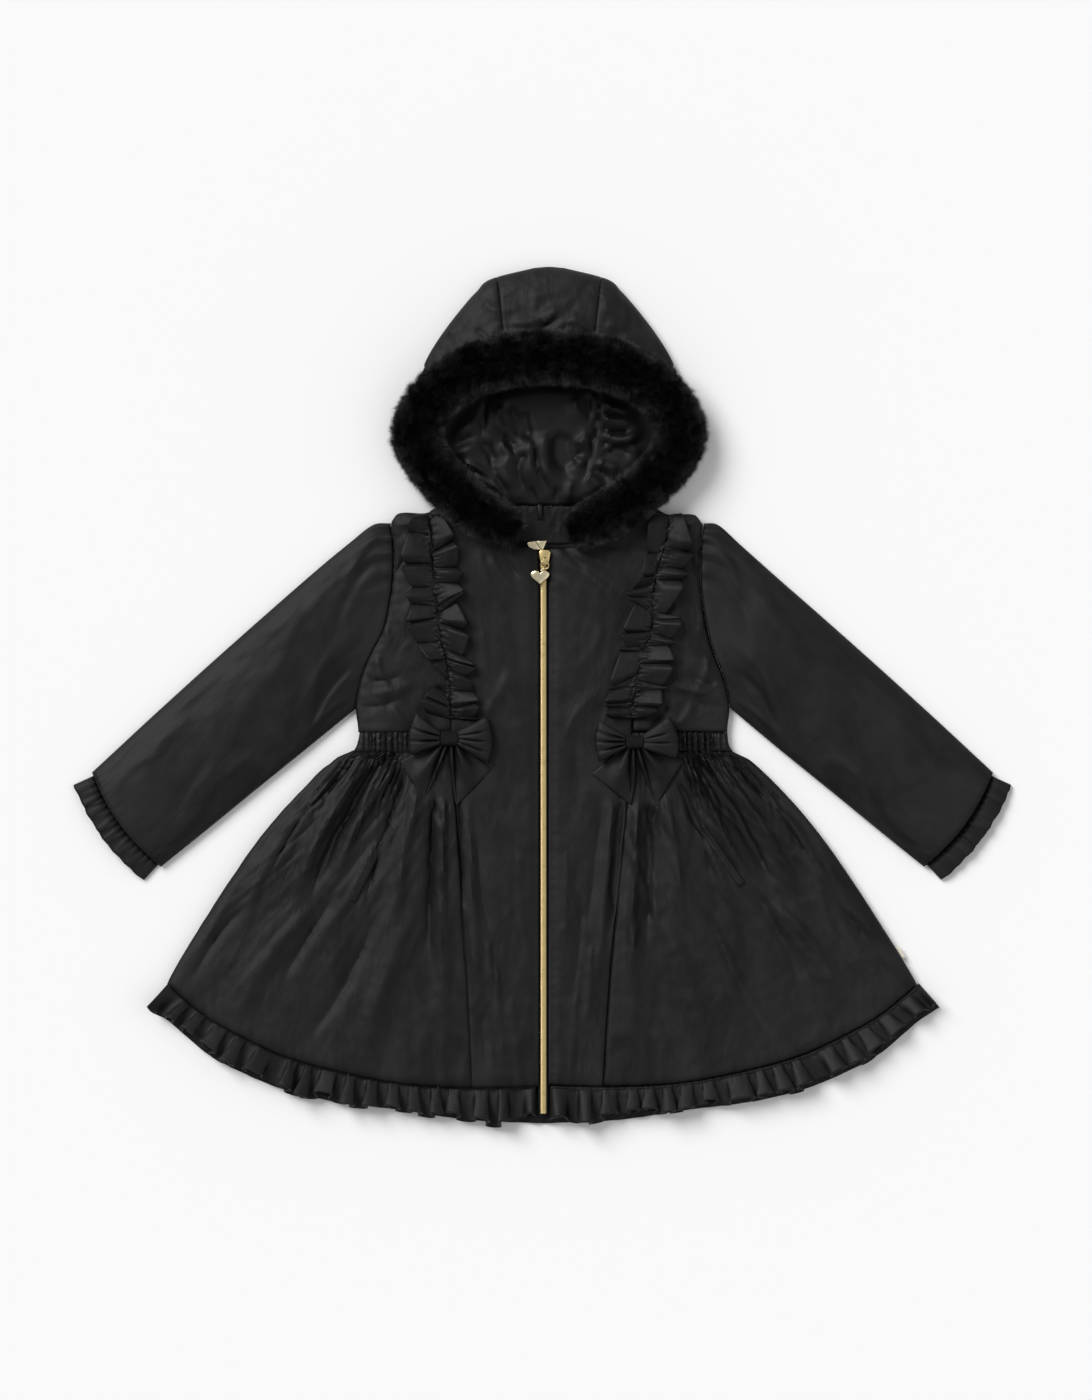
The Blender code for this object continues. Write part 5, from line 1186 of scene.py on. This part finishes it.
class COAT_OT_bows(bpy.types.Operator):
    """Builds the tied bow at each side of the waist"""

    bl_idname = "coat.bows"
    bl_label = "Bows"

    def execute(self, context):
        wall = context.scene.coat_sizes.single / MM
        for side, rows in BOWS.items():
            cx, cy, knot_width, knot_height = rows["knot"]
            for end in SIDES:
                out = sign(end)
                (ax, ay), (bx, by) = rows[f"loop_{end}"]
                pleats = rows[f"pleats_{end}"]

                def loop(u, v):
                    turn = 2 * v - 1
                    reach = 1 - np.abs(turn) ** 1.6
                    root_x, root_y = out * (knot_width / 2 - 0.5), mix(6.0, -6.0, u)
                    bow = 5.0 * np.sin(math.pi * u)
                    tip_x, tip_y = mix(ax, bx, u) + out * bow, mix(ay, by, u)
                    valley = sum(np.exp(-((u - p) / 0.035) ** 2) for p in pleats)
                    tip_x = tip_x * (1 - 0.012 * valley)
                    x, y = mix(root_x, tip_x, reach), mix(root_y, tip_y, reach)
                    rim = np.sqrt(np.maximum(0.0, 1 - (1 - np.minimum(1.0, np.abs(turn) * 3.2)) ** 2))
                    half = LOOP_DEPTH / 2 * (0.72 + 0.28 * np.sin(math.pi * np.minimum(1, reach) * 0.5))
                    z = BOW_BASE + LOOP_DEPTH / 2 + np.sign(turn) * half * rim
                    top = turn > 0
                    swell = 3.0 * np.sin(math.pi * reach) * np.sin(math.pi * np.clip(u, 0, 1)) ** 0.5
                    fold = -(5.0 * np.exp(-((reach - 0.2) / 0.48) ** 2)) * valley * ease(reach * 5)
                    fine = 0.5 * np.cos(2 * math.pi * 9 * u) * np.exp(-reach * 6) + 0.4 * crumple(x, y, 9, 91)
                    z = z + np.where(top, swell + fold + fine * ease(reach * 4), 0.0)
                    edge = 1.0 * (np.exp(-(u / 0.05) ** 2) + np.exp(-((1 - u) / 0.05) ** 2))
                    return cx + x, cy + y, z - np.where(top, edge, -edge)

                name = f"bow_{side}_loop_{end}"
                piece = cloth(name + "_cloth", 34, 40, loop, cut=(42, 84), wall=wall, node=name)
                corner_a, tip, corner_b = rows[f"tail_{end}"]

                def tail(u, v):
                    first = u < 0.5
                    share = np.where(first, 2 * u, 2 * u - 1)
                    far_x = np.where(first, mix(corner_a[0], tip[0], share), mix(tip[0], corner_b[0], share))
                    far_y = np.where(first, mix(corner_a[1], tip[1], share), mix(tip[1], corner_b[1], share))
                    root_x, root_y = out * 3.2 + mix(-4.0, 4.0, u), -2.0 + 0 * u
                    x, y = mix(root_x, far_x, v), mix(root_y, far_y, v)
                    ridge = np.exp(-((u - 0.3) / 0.13) ** 2) + np.exp(-((u - 0.74) / 0.12) ** 2)
                    valley = np.exp(-((u - 0.5) / 0.05) ** 2) * np.exp(-(v / 0.75) ** 4)
                    swell = np.sin(math.pi * np.minimum(1, 0.18 + 0.82 * v)) ** 0.7
                    z = TAIL_BASE + wall + 6.2 * ridge * swell
                    z = z - 1.0 * valley + 0.4 * crumple(x, y, 8, 93) + 0.7 * np.exp(-v * 7)
                    return cx + x, cy + y, np.maximum(z, TAIL_BASE + wall)

                name = f"bow_{side}_tail_{end}"
                piece = cloth(name + "_cloth", 32, 26, tail, cut=(58, 62), wall=wall, node=name)

            def knot(u, v):
                turn = 2 * math.pi * u
                cosine, sine = np.cos(turn), np.sin(turn)
                bulge = 1 - 0.16 * (2 * v - 1) ** 4
                across = np.sign(cosine) * np.abs(cosine) ** 0.75
                up = np.sign(sine) * np.abs(sine) ** 0.8
                dent = 0.35 * np.sin(3 * math.pi * v) ** 2
                return (cx + mix(-0.5, 0.5, v) * knot_width, cy + across * knot_height / 2 * bulge,
                        BOW_BASE + LOOP_DEPTH / 2 + up * (LOOP_DEPTH / 2 + 2.4 - dent) * bulge)

            piece = roll(f"bow_{side}_knot_cloth", 40, 20, knot, "black taffeta")
            piece.data.uv_layers.new(name="weave")
            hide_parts(f"bow_{side}_knot")
        return {"FINISHED"}


# Hood

def hood_half(y):
    return read(HOOD_OUTLINE, y, 1)


def crown_top(x):
    """Upper edge of the hood's outline for x."""
    d = np.minimum(np.abs(x - HOOD_X), CROWN_HALF)
    low, high = np.full(np.shape(x), 290.0), np.full(np.shape(x), HOOD_TOP)
    for _ in range(24):
        y = (low + high) / 2
        inside = hood_half(y) > d
        low, high = np.where(inside, y, low), np.where(inside, high, y)
    return low


def fur_at(s):
    """Middle of the fur roll, half width and half height, s from the left end over the top to the
    right end."""
    t = np.abs(2 * s - 1)
    x, y, z, wide, high = (read(FUR_LINE, t, c) for c in (1, 2, 3, 4, 5))
    shift = FUR_END_SHIFT * ease((t - 0.5) / 0.5)
    return HOOD_X + shift + np.sign(s - 0.5) * x, y, z, wide, high


def fur_place(s, turn, inset):
    """A place on the roll, inset from its outside, and the directions across it and along it."""
    x, y, z, wide, high = fur_at(s)
    x1, y1 = fur_at(np.minimum(1.0, s + 0.01))[:2]
    x0, y0 = fur_at(np.maximum(0.0, s - 0.01))[:2]
    length = np.hypot(x1 - x0, y1 - y0)
    fx, fy = (x1 - x0) / length, (y1 - y0) / length
    ends = np.sqrt(1 - np.maximum(0.0, np.abs(2 * s - 1) * 1.06 - 0.06) ** 12 * 0.75)
    wide, high = (wide - inset) * ends, (high - inset * 0.8) * ends
    place = np.stack([x + fy * wide * np.cos(turn), y - fx * wide * np.cos(turn),
                      z + high * np.sin(turn)], axis=-1)
    normal = np.stack([fy * np.cos(turn) / wide, -fx * np.cos(turn) / wide, np.sin(turn) / high], axis=-1)
    normal /= np.linalg.norm(normal, axis=-1, keepdims=True)
    forward = np.stack([fx, fy, 0 * fx], axis=-1)
    return place, normal, forward


class COAT_OT_hood(bpy.types.Operator):
    """Builds the hood: its lower layer, the satin inside it and the three panels of its crown"""

    bl_idname = "coat.hood"
    bl_label = "Hood"

    def execute(self, context):
        place = strip(lambda y: HOOD_X - hood_half(y), lambda y: HOOD_X + hood_half(y),
                      level(HOOD_FOOT), crown_top)

        def inset(x, y):
            return np.minimum(hood_half(y) - np.abs(x - HOOD_X), crown_top(x) - y)

        def over(u, v):
            x, y = place(u, v)
            return x, y, rounded(inset(x, y), BACK_TOP, 5.6, 8.0)

        def under(u, v):
            x, y = place(u, v)
            wave = 0.5 * crumple(x, y, 14, 101) - 0.3
            return x, y, np.clip(wave + 1.8 * np.exp(-(inset(x, y) / 3) ** 2), 0.0, 3.0)

        piece = cloth("hood_back_cloth", 44, 36, over, cut=(290, 237), under=under, node="hood_back")

        def lining_half(y):
            return hood_half(y) - mix(9.0, 17.0, ease((y - 300.0) / 25.0))

        inside = strip(lambda y: HOOD_X - lining_half(y), lambda y: HOOD_X + lining_half(y),
                       level(HOOD_FOOT + 1), lambda x: crown_top(x) - 17.0)

        def satin(u, v):
            x, y = inside(u, v)
            clear = 1 - ease((np.hypot((x - HOOD_X) / 104, (y - 250) / 66) - 0.78) / 0.22)
            folds = 1.0 * creases("lining", x, y, 1.8) + 0.5 * crumple(x, y, 16, 112)
            return x, y, LINING_TOP + 1.0 + np.maximum(clear * (5.0 + folds), 0.0)

        piece = cloth("hood_lining_cloth", 120, 74, satin, "black satin", "lining", (270, 215), 1.0,
                      node="hood_lining")

        def brim(s):
            x, y, z, _, high = fur_at(mix(0.335, 0.665, s))
            return x, y, z - high - 0.5

        def rim(s):
            angle = mix(math.pi, 0, s)
            y = CROWN_END + (HOOD_TOP - CROWN_END) * np.maximum(0, np.sin(angle)) ** 0.9
            x = HOOD_X + np.sign(np.cos(angle)) * np.minimum(hood_half(y), CROWN_HALF)
            pinch = np.where(y > 425, np.minimum(1.0, np.abs(np.cos(angle)) * 6), 1.0)
            return HOOD_X + (x - HOOD_X) * pinch, y

        shares = {"hood_side_l": (0.0, 0.345), "hood_centre": (0.345, 0.655), "hood_side_r": (0.655, 1.0)}
        for name, (first, last) in shares.items():
            def crown(u, v):
                s = mix(first + 0.0008 * (first > 0), last - 0.0008 * (last < 1), u)
                rx, ry = rim(s)
                bx, by, bz = brim(s)
                t = v ** 1.4
                x, y = mix(rx, bx, t), mix(ry, by, t)
                foot = FRONT_UNDER + 1.2
                z = foot + (bz - FRONT_UNDER - 1.2) * np.sqrt(1 - (1 - t) ** 2) ** 0.9
                width = 110 * np.minimum(u, 1 - u)
                fine = 1.5 * creases("crown", x, y, 1.6) + 1.2 * crumple(x, y, 14, 121)
                fine = fine + 0.3 * crumple(x, y, 5, 122)
                seamless = u > 0.5 if last == 1 else u < 0.5
                seam = seam_dip(width * np.where(seamless, 99.0, 1.0), 1.5, 1.6)
                z = z + fine * ease(v * 5) - seam + 0.5 * pucker(width, y, 7, 7, 123) * ease(v * 4)
                return x, y, np.maximum(z, FRONT_UNDER + 0.2)

            piece = cloth(name + "_cloth", 58, 46, crown, cut=(120, 95), wall=1.6, node=name)
        return {"FINISHED"}


class COAT_OT_fur(bpy.types.Operator):
    """Builds the fur round the hood: a padded core and its hairs"""

    bl_idname = "coat.fur"
    bl_label = "Fur"

    def execute(self, context):
        sizes = context.scene.coat_sizes

        def core(u, v):
            place = fur_place(v, 2 * math.pi * u, 9.5)[0]
            return place[:, 0], place[:, 1], place[:, 2]

        piece = roll("fur_core", 40, 150, core, "black fur")
        piece.data.uv_layers.new(name="strand")
        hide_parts("fur_trim")
        count = sizes.hairs
        rng = np.random.default_rng(7)
        for part in range(4):
            s = (part + rng.random(count)) / 4
            turn = mix(-0.28, 1.28, rng.random(count)) * math.pi
            root, normal, forward = fur_place(s, turn, 9.5)
            across = np.cross(forward, normal)
            way, round_it = s * 720, turn * 24
            step = 0.5

            def pull(along, about):
                return (noise((way + along) / 8, (round_it + about) / 8, 131)
                        - noise((way - along) / 8, (round_it - about) / 8, 131))

            tug_along, tug_round = pull(step, 0), pull(0, step)
            locks = 20 * np.stack([tug_along, tug_round], axis=1)
            comb = 0.35 * noise(way / 40, round_it / 30, 133)[:, None]
            lean = forward * (locks[:, :1] * 0.16 + comb + 0.16 * rng.normal(size=(count, 1)))
            lean += across * (locks[:, 1:] * 0.16 + 0.16 * rng.normal(size=(count, 1)))
            lean[:, 2] -= 0.12
            uneven = 0.7 + 0.4 * rng.random(count) + 0.3 * noise(way / 4.5, round_it / 4.5, 135)
            long = (sizes.hair_length * uneven / MM)[:, None]
            tip = root + (normal * 0.86 + lean) * long
            tip[:, 2] = np.maximum(tip[:, 2], 3.0)
            facing = rng.normal(size=(count, 3))
            blade = np.cross(normal + lean, facing)
            blade *= sizes.hair_width / MM / 2 / np.linalg.norm(blade, axis=1, keepdims=True)
            points = np.stack([root - blade, root + blade, tip], axis=1)
            patch = 0.48 + 1.2 * noise(way / 19, round_it / 15, 137) + 0.9 * noise(way / 5, round_it / 6, 138)
            patch = ease(patch)
            # Painted sheen: hairs at the roll's inner and outer sides get lighter tips, those on its top
            # darker ones
            edge = 0.14 + 0.86 * np.abs(np.cos(turn)) ** 3
            tone_and_sheen = np.clip((0.12 + 0.88 * patch) * edge * (0.45 + 0.75 * rng.random(count)), 0, 1)
            uv = np.stack([np.stack([tone_and_sheen, np.full(count, level)], axis=1) for level in (0.0, 0.0, 1.0)],
                          axis=1).reshape(-1, 2)
            faces = np.arange(count * 3).reshape(-1, 3)
            array_piece(f"fur_hair_{part + 1}", points.reshape(-1, 3) * MM, faces, "black fur", uv)
        return {"FINISHED"}


# Trims

class COAT_OT_trims(bpy.types.Operator):
    """Builds the neck facing, hanger loop, pocket welts and the blank side tab"""

    bl_idname = "coat.trims"
    bl_label = "Trims"

    def execute(self, context):
        def facing(u, v):
            left, right = mix(-30.0, -40.0, v), mix(42.0, 52.0, v)
            low = 152.5 + 6.0 * np.abs(2 * u - 1) ** 3
            x, y = mix(left, right, u), mix(low, 189.5, v)
            z = LINING_TOP + 0.3 + 0.5 * crumple(x, y, 8, 141) + 1.2 * ridges(x / 11, y / 60, 142) * v
            return x, y, z

        piece = cloth("neck_facing_cloth", 44, 24, facing, "black satin", "lining", (86, 38), 1.2,
                      node="neck_facing")

        def hanger(u, v):
            lift = 3.2 * np.sin(math.pi * v) ** 0.6
            crown = 0.3 * np.sin(math.pi * u)
            return mix(-5.0, 0.0, u), mix(176.0, 193.0, v), LINING_TOP + 1.5 + lift + crown

        piece = cloth("hanger_loop_cloth", 4, 24, hanger, "black satin", "lining", (5, 20), 1.1,
                      node="hanger_loop")

        for side, (x0, y0, x1, y1) in {"l": (-151.0, -132.0, -191.0, -205.0),
                                       "r": (158.0, -130.0, 199.0, -188.0)}.items():
            run = np.array([x1 - x0, y1 - y0]) / math.hypot(x1 - x0, y1 - y0)

            def welt(u, v):
                x = mix(x0, x1, v) - run[1] * mix(-3.5, 3.5, u)
                y = mix(y0, y1, v) + run[0] * mix(-3.5, 3.5, u)
                near = [skirt_height(side, x + dx, y + dy) for dx in (-4, 0, 4) for dy in (-4, 0, 4)]
                lip = 0.7 * np.sin(math.pi * u) ** 0.5
                return x, y, np.max(near, axis=0) * 0.6 + 0.4 * near[4] + 0.3 + lip

            name = f"pocket_welt_{side}"
            piece = cloth(name + "_cloth", 8, 40, welt, cut=(7, 80), wall=1.1, node=name)

        low, high = (float(side_x("r", np.array(end))) for end in TAB_ENDS)

        def tab(u, v):
            x = mix(low, high, v) + mix(0.4, 4.4, u)
            return x, mix(*TAB_ENDS, v), 6.0 + 0.15 * np.sin(math.pi * u) + 0 * v

        piece = cloth("side_tab_cloth", 6, 12, tab, "cream tape", "tab", (10, 10), 1.3, node="side_tab")
        return {"FINISHED"}


# Zip

class COAT_OT_zip(bpy.types.Operator):
    """Builds the zip: tapes, two rows of teeth, the slider and the folded tape ends"""

    bl_idname = "coat.zip"
    bl_label = "Zip"

    def execute(self, context):
        for side in SIDES:
            out = sign(side)

            def tape(u, v):
                x = ZIP_X + out * mix(0.15, TAPE_HALF, u)
                return x, mix(ZIP_END, ZIP_TOP + 14, v), 8.3 + 0.2 * np.sin(math.pi * u) + 0 * v

            piece = cloth(f"zip_tape_{side}_cloth", 5, 150, tape, "zip tape", "tape", (5, 565), 1.6,
                          node=f"zip_tape_{side}")
            tooth = plate_mesh(((-0.75, 0.42), (-0.2, 0.5), (0.2, 0.36), (1.0, 0.36), (1.0, -0.36),
                                (0.2, -0.36), (-0.2, -0.5), (-0.75, -0.42)), 0, 1, 0.0)
            bmesh.ops.scale(tooth, vec=(1, 1.55, CHAIN_HIGH - CHAIN_LOW), verts=tooth.verts)
            bmesh.ops.bevel(tooth, geom=tooth.edges[:], offset=0.1 * MM, segments=1, profile=0.5,
                            affect="EDGES", material=-1)
            bmesh.ops.scale(tooth, vec=(out * CHAIN_HALF, 1, 1), verts=tooth.verts)
            start = ZIP_END + 3 + (TOOTH_PITCH / 2 if side == "r" else 0)
            bmesh.ops.translate(tooth, verts=tooth.verts, vec=(ZIP_X * MM, start * MM, CHAIN_LOW * MM))
            bmesh.ops.recalc_face_normals(tooth, faces=tooth.faces[:])
            piece = new_piece(tooth, f"zip_teeth_{side}", "gold plate")
            row = piece.modifiers.new("row", "ARRAY")
            row.use_relative_offset = False
            row.use_constant_offset = True
            row.constant_offset_displace = (0, TOOTH_PITCH * MM, 0)
            row.count = int((ZIP_TOP + 8 - start) / TOOTH_PITCH)
            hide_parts("zip_chain")

        x, y, wide, long = ZIP_X + 1.2, 138.5, 12.0, 15.0
        shape = ((-0.55, -1.0), (0.55, -1.0), (0.8, -0.2), (1.0, 0.7), (0.7, 1.0), (-0.7, 1.0),
                 (-1.0, 0.7), (-0.8, -0.2))
        outline = [(x + wide / 2 * a, y + long / 2 * b) for a, b in shape]
        slider = plate_mesh(outline, CHAIN_LOW + 3.9, 16.8, 0.7, 3)
        foot, top, wall = 16.4, 21.2, 1.3
        arch = [(131.0, foot), (131.0, top - 1.2), (132.2, top), (137.4, top), (138.6, top - 1.2),
                (138.6, foot), (138.6 - wall, foot), (138.6 - wall, top - wall),
                (131.0 + wall, top - wall), (131.0 + wall, foot)]
        join_meshes(slider, plate_mesh(arch, 0, 0, 0.25, 2, (x - 1.5, x + 1.5)))
        piece = new_piece(slider, "zip_slider_metal", "gold plate")
        piece.data.set_sharp_from_angle(angle=math.radians(40))
        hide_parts("zip_slider")
        wings = {
            "l": ((-15.8, 153.2), (-13.5, 149.0), (-8.5, 146.6), (-1.9, 146.3), (-2.6, 147.6), (-7.0, 154.8)),
            "r": ((-1.6, 146.3), (0.6, 146.3), (4.2, 155.2), (-6.2, 154.8), (-2.1, 147.6)),
        }
        for side, wing in wings.items():
            piece = new_piece(plate_mesh(wing, CHAIN_LOW + 5.2, CHAIN_LOW + 6.4, 0.35, 2),
                              f"zip_top_{side}_metal", "pale gold")
            piece.data.set_sharp_from_angle(angle=math.radians(40))
            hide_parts(f"zip_top_{side}")
        return {"FINISHED"}


class COAT_OT_pull(bpy.types.Operator):
    """Builds the link and the puffed heart that hang from the slider"""

    bl_idname = "coat.pull"
    bl_label = "Heart pull"

    def execute(self, context):
        top_y, top_z, low_y, low_z = 134.6, 18.6, 127.2, 17.0
        middle = np.array([ZIP_X + 1.2, (top_y + low_y) / 2, (top_z + low_z) / 2])
        along = np.array([0, low_y - top_y, low_z - top_z])
        way = along / np.linalg.norm(along)
        out = np.cross(along, (1, 0, 0))
        out = out / np.linalg.norm(out)
        wide = 7.6

        def link(u, v):
            turn = 2 * math.pi * v
            c, n = np.cos(turn), np.sin(turn)
            spread = np.sign(n) * np.abs(n) ** 0.6 * wide / 2
            place = middle + spread[:, None] * np.array([1, 0, 0])
            place = place + (np.sign(c) * np.abs(c) ** 0.6)[:, None] * along / 2
            away = (n * wide / 2)[:, None] * np.array([1, 0, 0])
            away = away + (c * np.linalg.norm(along) / 2)[:, None] * way
            away = away / np.linalg.norm(away, axis=1, keepdims=True)
            wire = 2 * math.pi * u[:, None]
            place = place + 0.65 * (np.cos(wire) * away + np.sin(wire) * out)
            return place[:, 0], place[:, 1], place[:, 2]

        piece = roll("pull_link_metal", 14, 64, link, "gold plate", "pull_link", ring=True)
        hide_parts("pull_link")

        heart_x, height, low, high = ZIP_X - 3.5, 15.0, 14.5, 17.5

        def heart(u, v):
            a = 2 * math.pi * u
            hx = np.sin(a) ** 3
            hy = (13 * np.cos(a) - 5 * np.cos(2 * a) - 2 * np.cos(3 * a) - np.cos(4 * a)) / 16
            lift = np.sin(math.pi * (v - 0.5))
            scale = np.clip(np.cos(math.pi * (v - 0.5)), 0.02, 1) ** 0.55
            x = heart_x + hx * 9.5 * scale
            y = low_y - 1.85 - 1.6 + (hy * scale - 0.5 + 0.1 * (1 - scale)) * height / 1.75
            return x, y, (low + high) / 2 + (high - low) / 2 * 1.25 * lift

        hole, rim, eye_wide = 1.05, 1.85, 1.8
        piece = roll("pull_heart_metal", 72, 26, heart, "pale gold", "pull_heart")
        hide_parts("pull_heart")

        def eye(u, v):
            turn, wire = 2 * math.pi * v, 2 * math.pi * u
            radius = (hole + rim) / 2 + (rim - hole) / 2 * np.cos(wire)
            return (heart_x + 3.5 + eye_wide / 2 * np.sin(wire), low_y + radius * np.cos(turn),
                    low_z + radius * np.sin(turn))

        roll("pull_eye_metal", 12, 32, eye, "pale gold", "pull_heart", ring=True)
        return {"FINISHED"}


# Stitching

class COAT_OT_stitches(bpy.types.Operator):
    """Builds the topstitching beside the zip and along the gathers of the ruffles"""

    bl_idname = "coat.stitches"
    bl_label = "Stitching"

    def execute(self, context):
        length = context.scene.coat_sizes.stitch / MM

        def sew(name, xs, ys, zs):
            """One row of stitches along a line of closely set places."""
            place = np.stack([xs, ys, zs], axis=1)
            steps = np.linalg.norm(np.diff(place, axis=0), axis=1)
            way = np.concatenate([[0], np.cumsum(steps)])
            starts = np.arange(0.5, way[-1] - length, length * 1.2)
            mesh = bmesh.new()
            bmesh.ops.create_cube(mesh, size=1.0)
            bmesh.ops.bevel(mesh, geom=mesh.edges[:], offset=0.25, segments=1, profile=0.5, affect="EDGES",
                            material=-1)
            shape = np.array([v.co[:] for v in mesh.verts])
            sides = [[v.index for v in f.verts] for f in mesh.faces]
            mesh.free()
            points, faces = [], []
            for n, start in enumerate(starts):
                a = np.array([np.interp(start, way, place[:, c]) for c in range(3)])
                b = np.array([np.interp(start + length, way, place[:, c]) for c in range(3)])
                run = (b - a) / np.linalg.norm(b - a)
                across = np.cross(run, (0, 0, 1))
                across /= np.linalg.norm(across)
                up = np.cross(across, run)
                points.append((a + b) / 2 + shape[:, :1] * run * length + shape[:, 1:2] * across * 0.55
                              + shape[:, 2:] * up * 0.45)
                faces += [[i + n * len(shape) for i in side] for side in sides]
            data = bpy.data.meshes.new(name)
            data.from_pydata((np.concatenate(points) * MM).tolist(), [], faces)
            data.uv_layers.new(name="weave")
            show(data, "thread")

        for side in SIDES:
            out = sign(side)
            y = np.linspace(hem_y(np.array(ZIP_X + 10.0)) + 2, 146, 1200)
            x = ZIP_X + out * (TAPE_HALF + 5.2) + 0 * y
            sew(f"zip_stitches_{side}", x, y, centre_height(side, x, y) + 0.12)
            y = np.linspace(-20, 178, 600)
            x = read(CHEST_LINE, y, 1 if side == "l" else 2)
            z = front_height(side, x, np.minimum(y, neck_y(x) - 0.5)) + 1.2 + CHEST_WALL + 1.1
            sew(f"ruffle_stitches_{side}", x, y, z)
        return {"FINISHED"}


# Floor, light and camera

class COAT_OT_stage(bpy.types.Operator):
    """Sets the pale floor, the soft light and the camera straight above"""

    bl_idname = "coat.stage"
    bl_label = "Stage"

    def execute(self, context):
        scene = context.scene
        mesh = bmesh.new()
        bmesh.ops.create_grid(mesh, x_segments=1, y_segments=1, size=6.0)
        data = bpy.data.meshes.new("floor")
        mesh.to_mesh(data)
        mesh.free()
        floor = bpy.data.objects.new("floor", data)
        scene.collection.objects.link(floor)
        shader = new_material("pale floor")[1]
        shader.inputs["Base Color"].default_value = (0.93, 0.93, 0.93, 1)
        shader.inputs["Roughness"].default_value = 0.9
        shader.inputs["Specular IOR Level"].default_value = 0.1
        data.materials.append(bpy.data.materials["pale floor"])

        def lamp(name, place, spread, power):
            light = bpy.data.lights.new(name, "SUN")
            light.angle = math.radians(spread)
            light.energy = power
            made = bpy.data.objects.new(name, light)
            made.location = place
            made.rotation_euler = (-Vector(place)).to_track_quat("-Z", "Y").to_euler()
            scene.collection.objects.link(made)

        lamp("key", (-1.9, 1.9, 2.5), 34, 2.55)
        lamp("fill", (2.2, -0.4, 2.0), 70, 0.35)
        world = bpy.data.worlds.new("studio")
        scene.world = world
        world.use_nodes = True
        world.node_tree.nodes["Background"].inputs["Color"].default_value = (1, 1, 1, 1)
        world.node_tree.nodes["Background"].inputs["Strength"].default_value = 0.4
        camera = bpy.data.cameras.new("camera")
        distance, reach = 6.0, 1.4
        camera.sensor_width = 36.0
        camera.lens = 36.0 * (distance - 0.012) / reach
        camera.clip_end = 100.0
        made = bpy.data.objects.new("camera", camera)
        made.location = (0.0035, -0.004, distance)
        scene.collection.objects.link(made)
        scene.camera = made
        scene.view_settings.view_transform = "Standard"
        return {"FINISHED"}


class COAT_PT_panel(bpy.types.Panel):
    """Lists the coat's pieces and settings"""

    bl_label = "Hooded party coat"
    bl_idname = "COAT_PT_panel"
    bl_space_type = "VIEW_3D"
    bl_region_type = "UI"
    bl_category = "Coat"

    def draw(self, context):
        for settings in (context.scene.coat_sizes, context.scene.coat_colours):
            for name in settings.__annotations__:
                self.layout.prop(settings, name)
        for operator in OPERATORS:
            self.layout.operator(operator.bl_idname)


OPERATORS = (COAT_OT_fronts, COAT_OT_back, COAT_OT_sleeves, COAT_OT_cuffs, COAT_OT_hem,
             COAT_OT_chest_ruffles, COAT_OT_bows, COAT_OT_hood, COAT_OT_fur, COAT_OT_trims, COAT_OT_zip,
             COAT_OT_pull, COAT_OT_stitches, COAT_OT_stage)
CLASSES = (CoatSizes, CoatColours, *OPERATORS, COAT_PT_panel)


def register():
    for made in CLASSES:
        bpy.utils.register_class(made)
    bpy.types.Scene.coat_sizes = bpy.props.PointerProperty(type=CoatSizes)
    bpy.types.Scene.coat_colours = bpy.props.PointerProperty(type=CoatColours)


def unregister():
    del bpy.types.Scene.coat_colours
    del bpy.types.Scene.coat_sizes
    for made in reversed(CLASSES):
        bpy.utils.unregister_class(made)


def main():
    register()
    make_finishes(bpy.context.scene.coat_colours)
    for operator in OPERATORS:
        group, name = operator.bl_idname.split(".")
        getattr(getattr(bpy.ops, group), name)()
    bpy.context.view_layer.update()


if __name__ == "__main__":
    main()
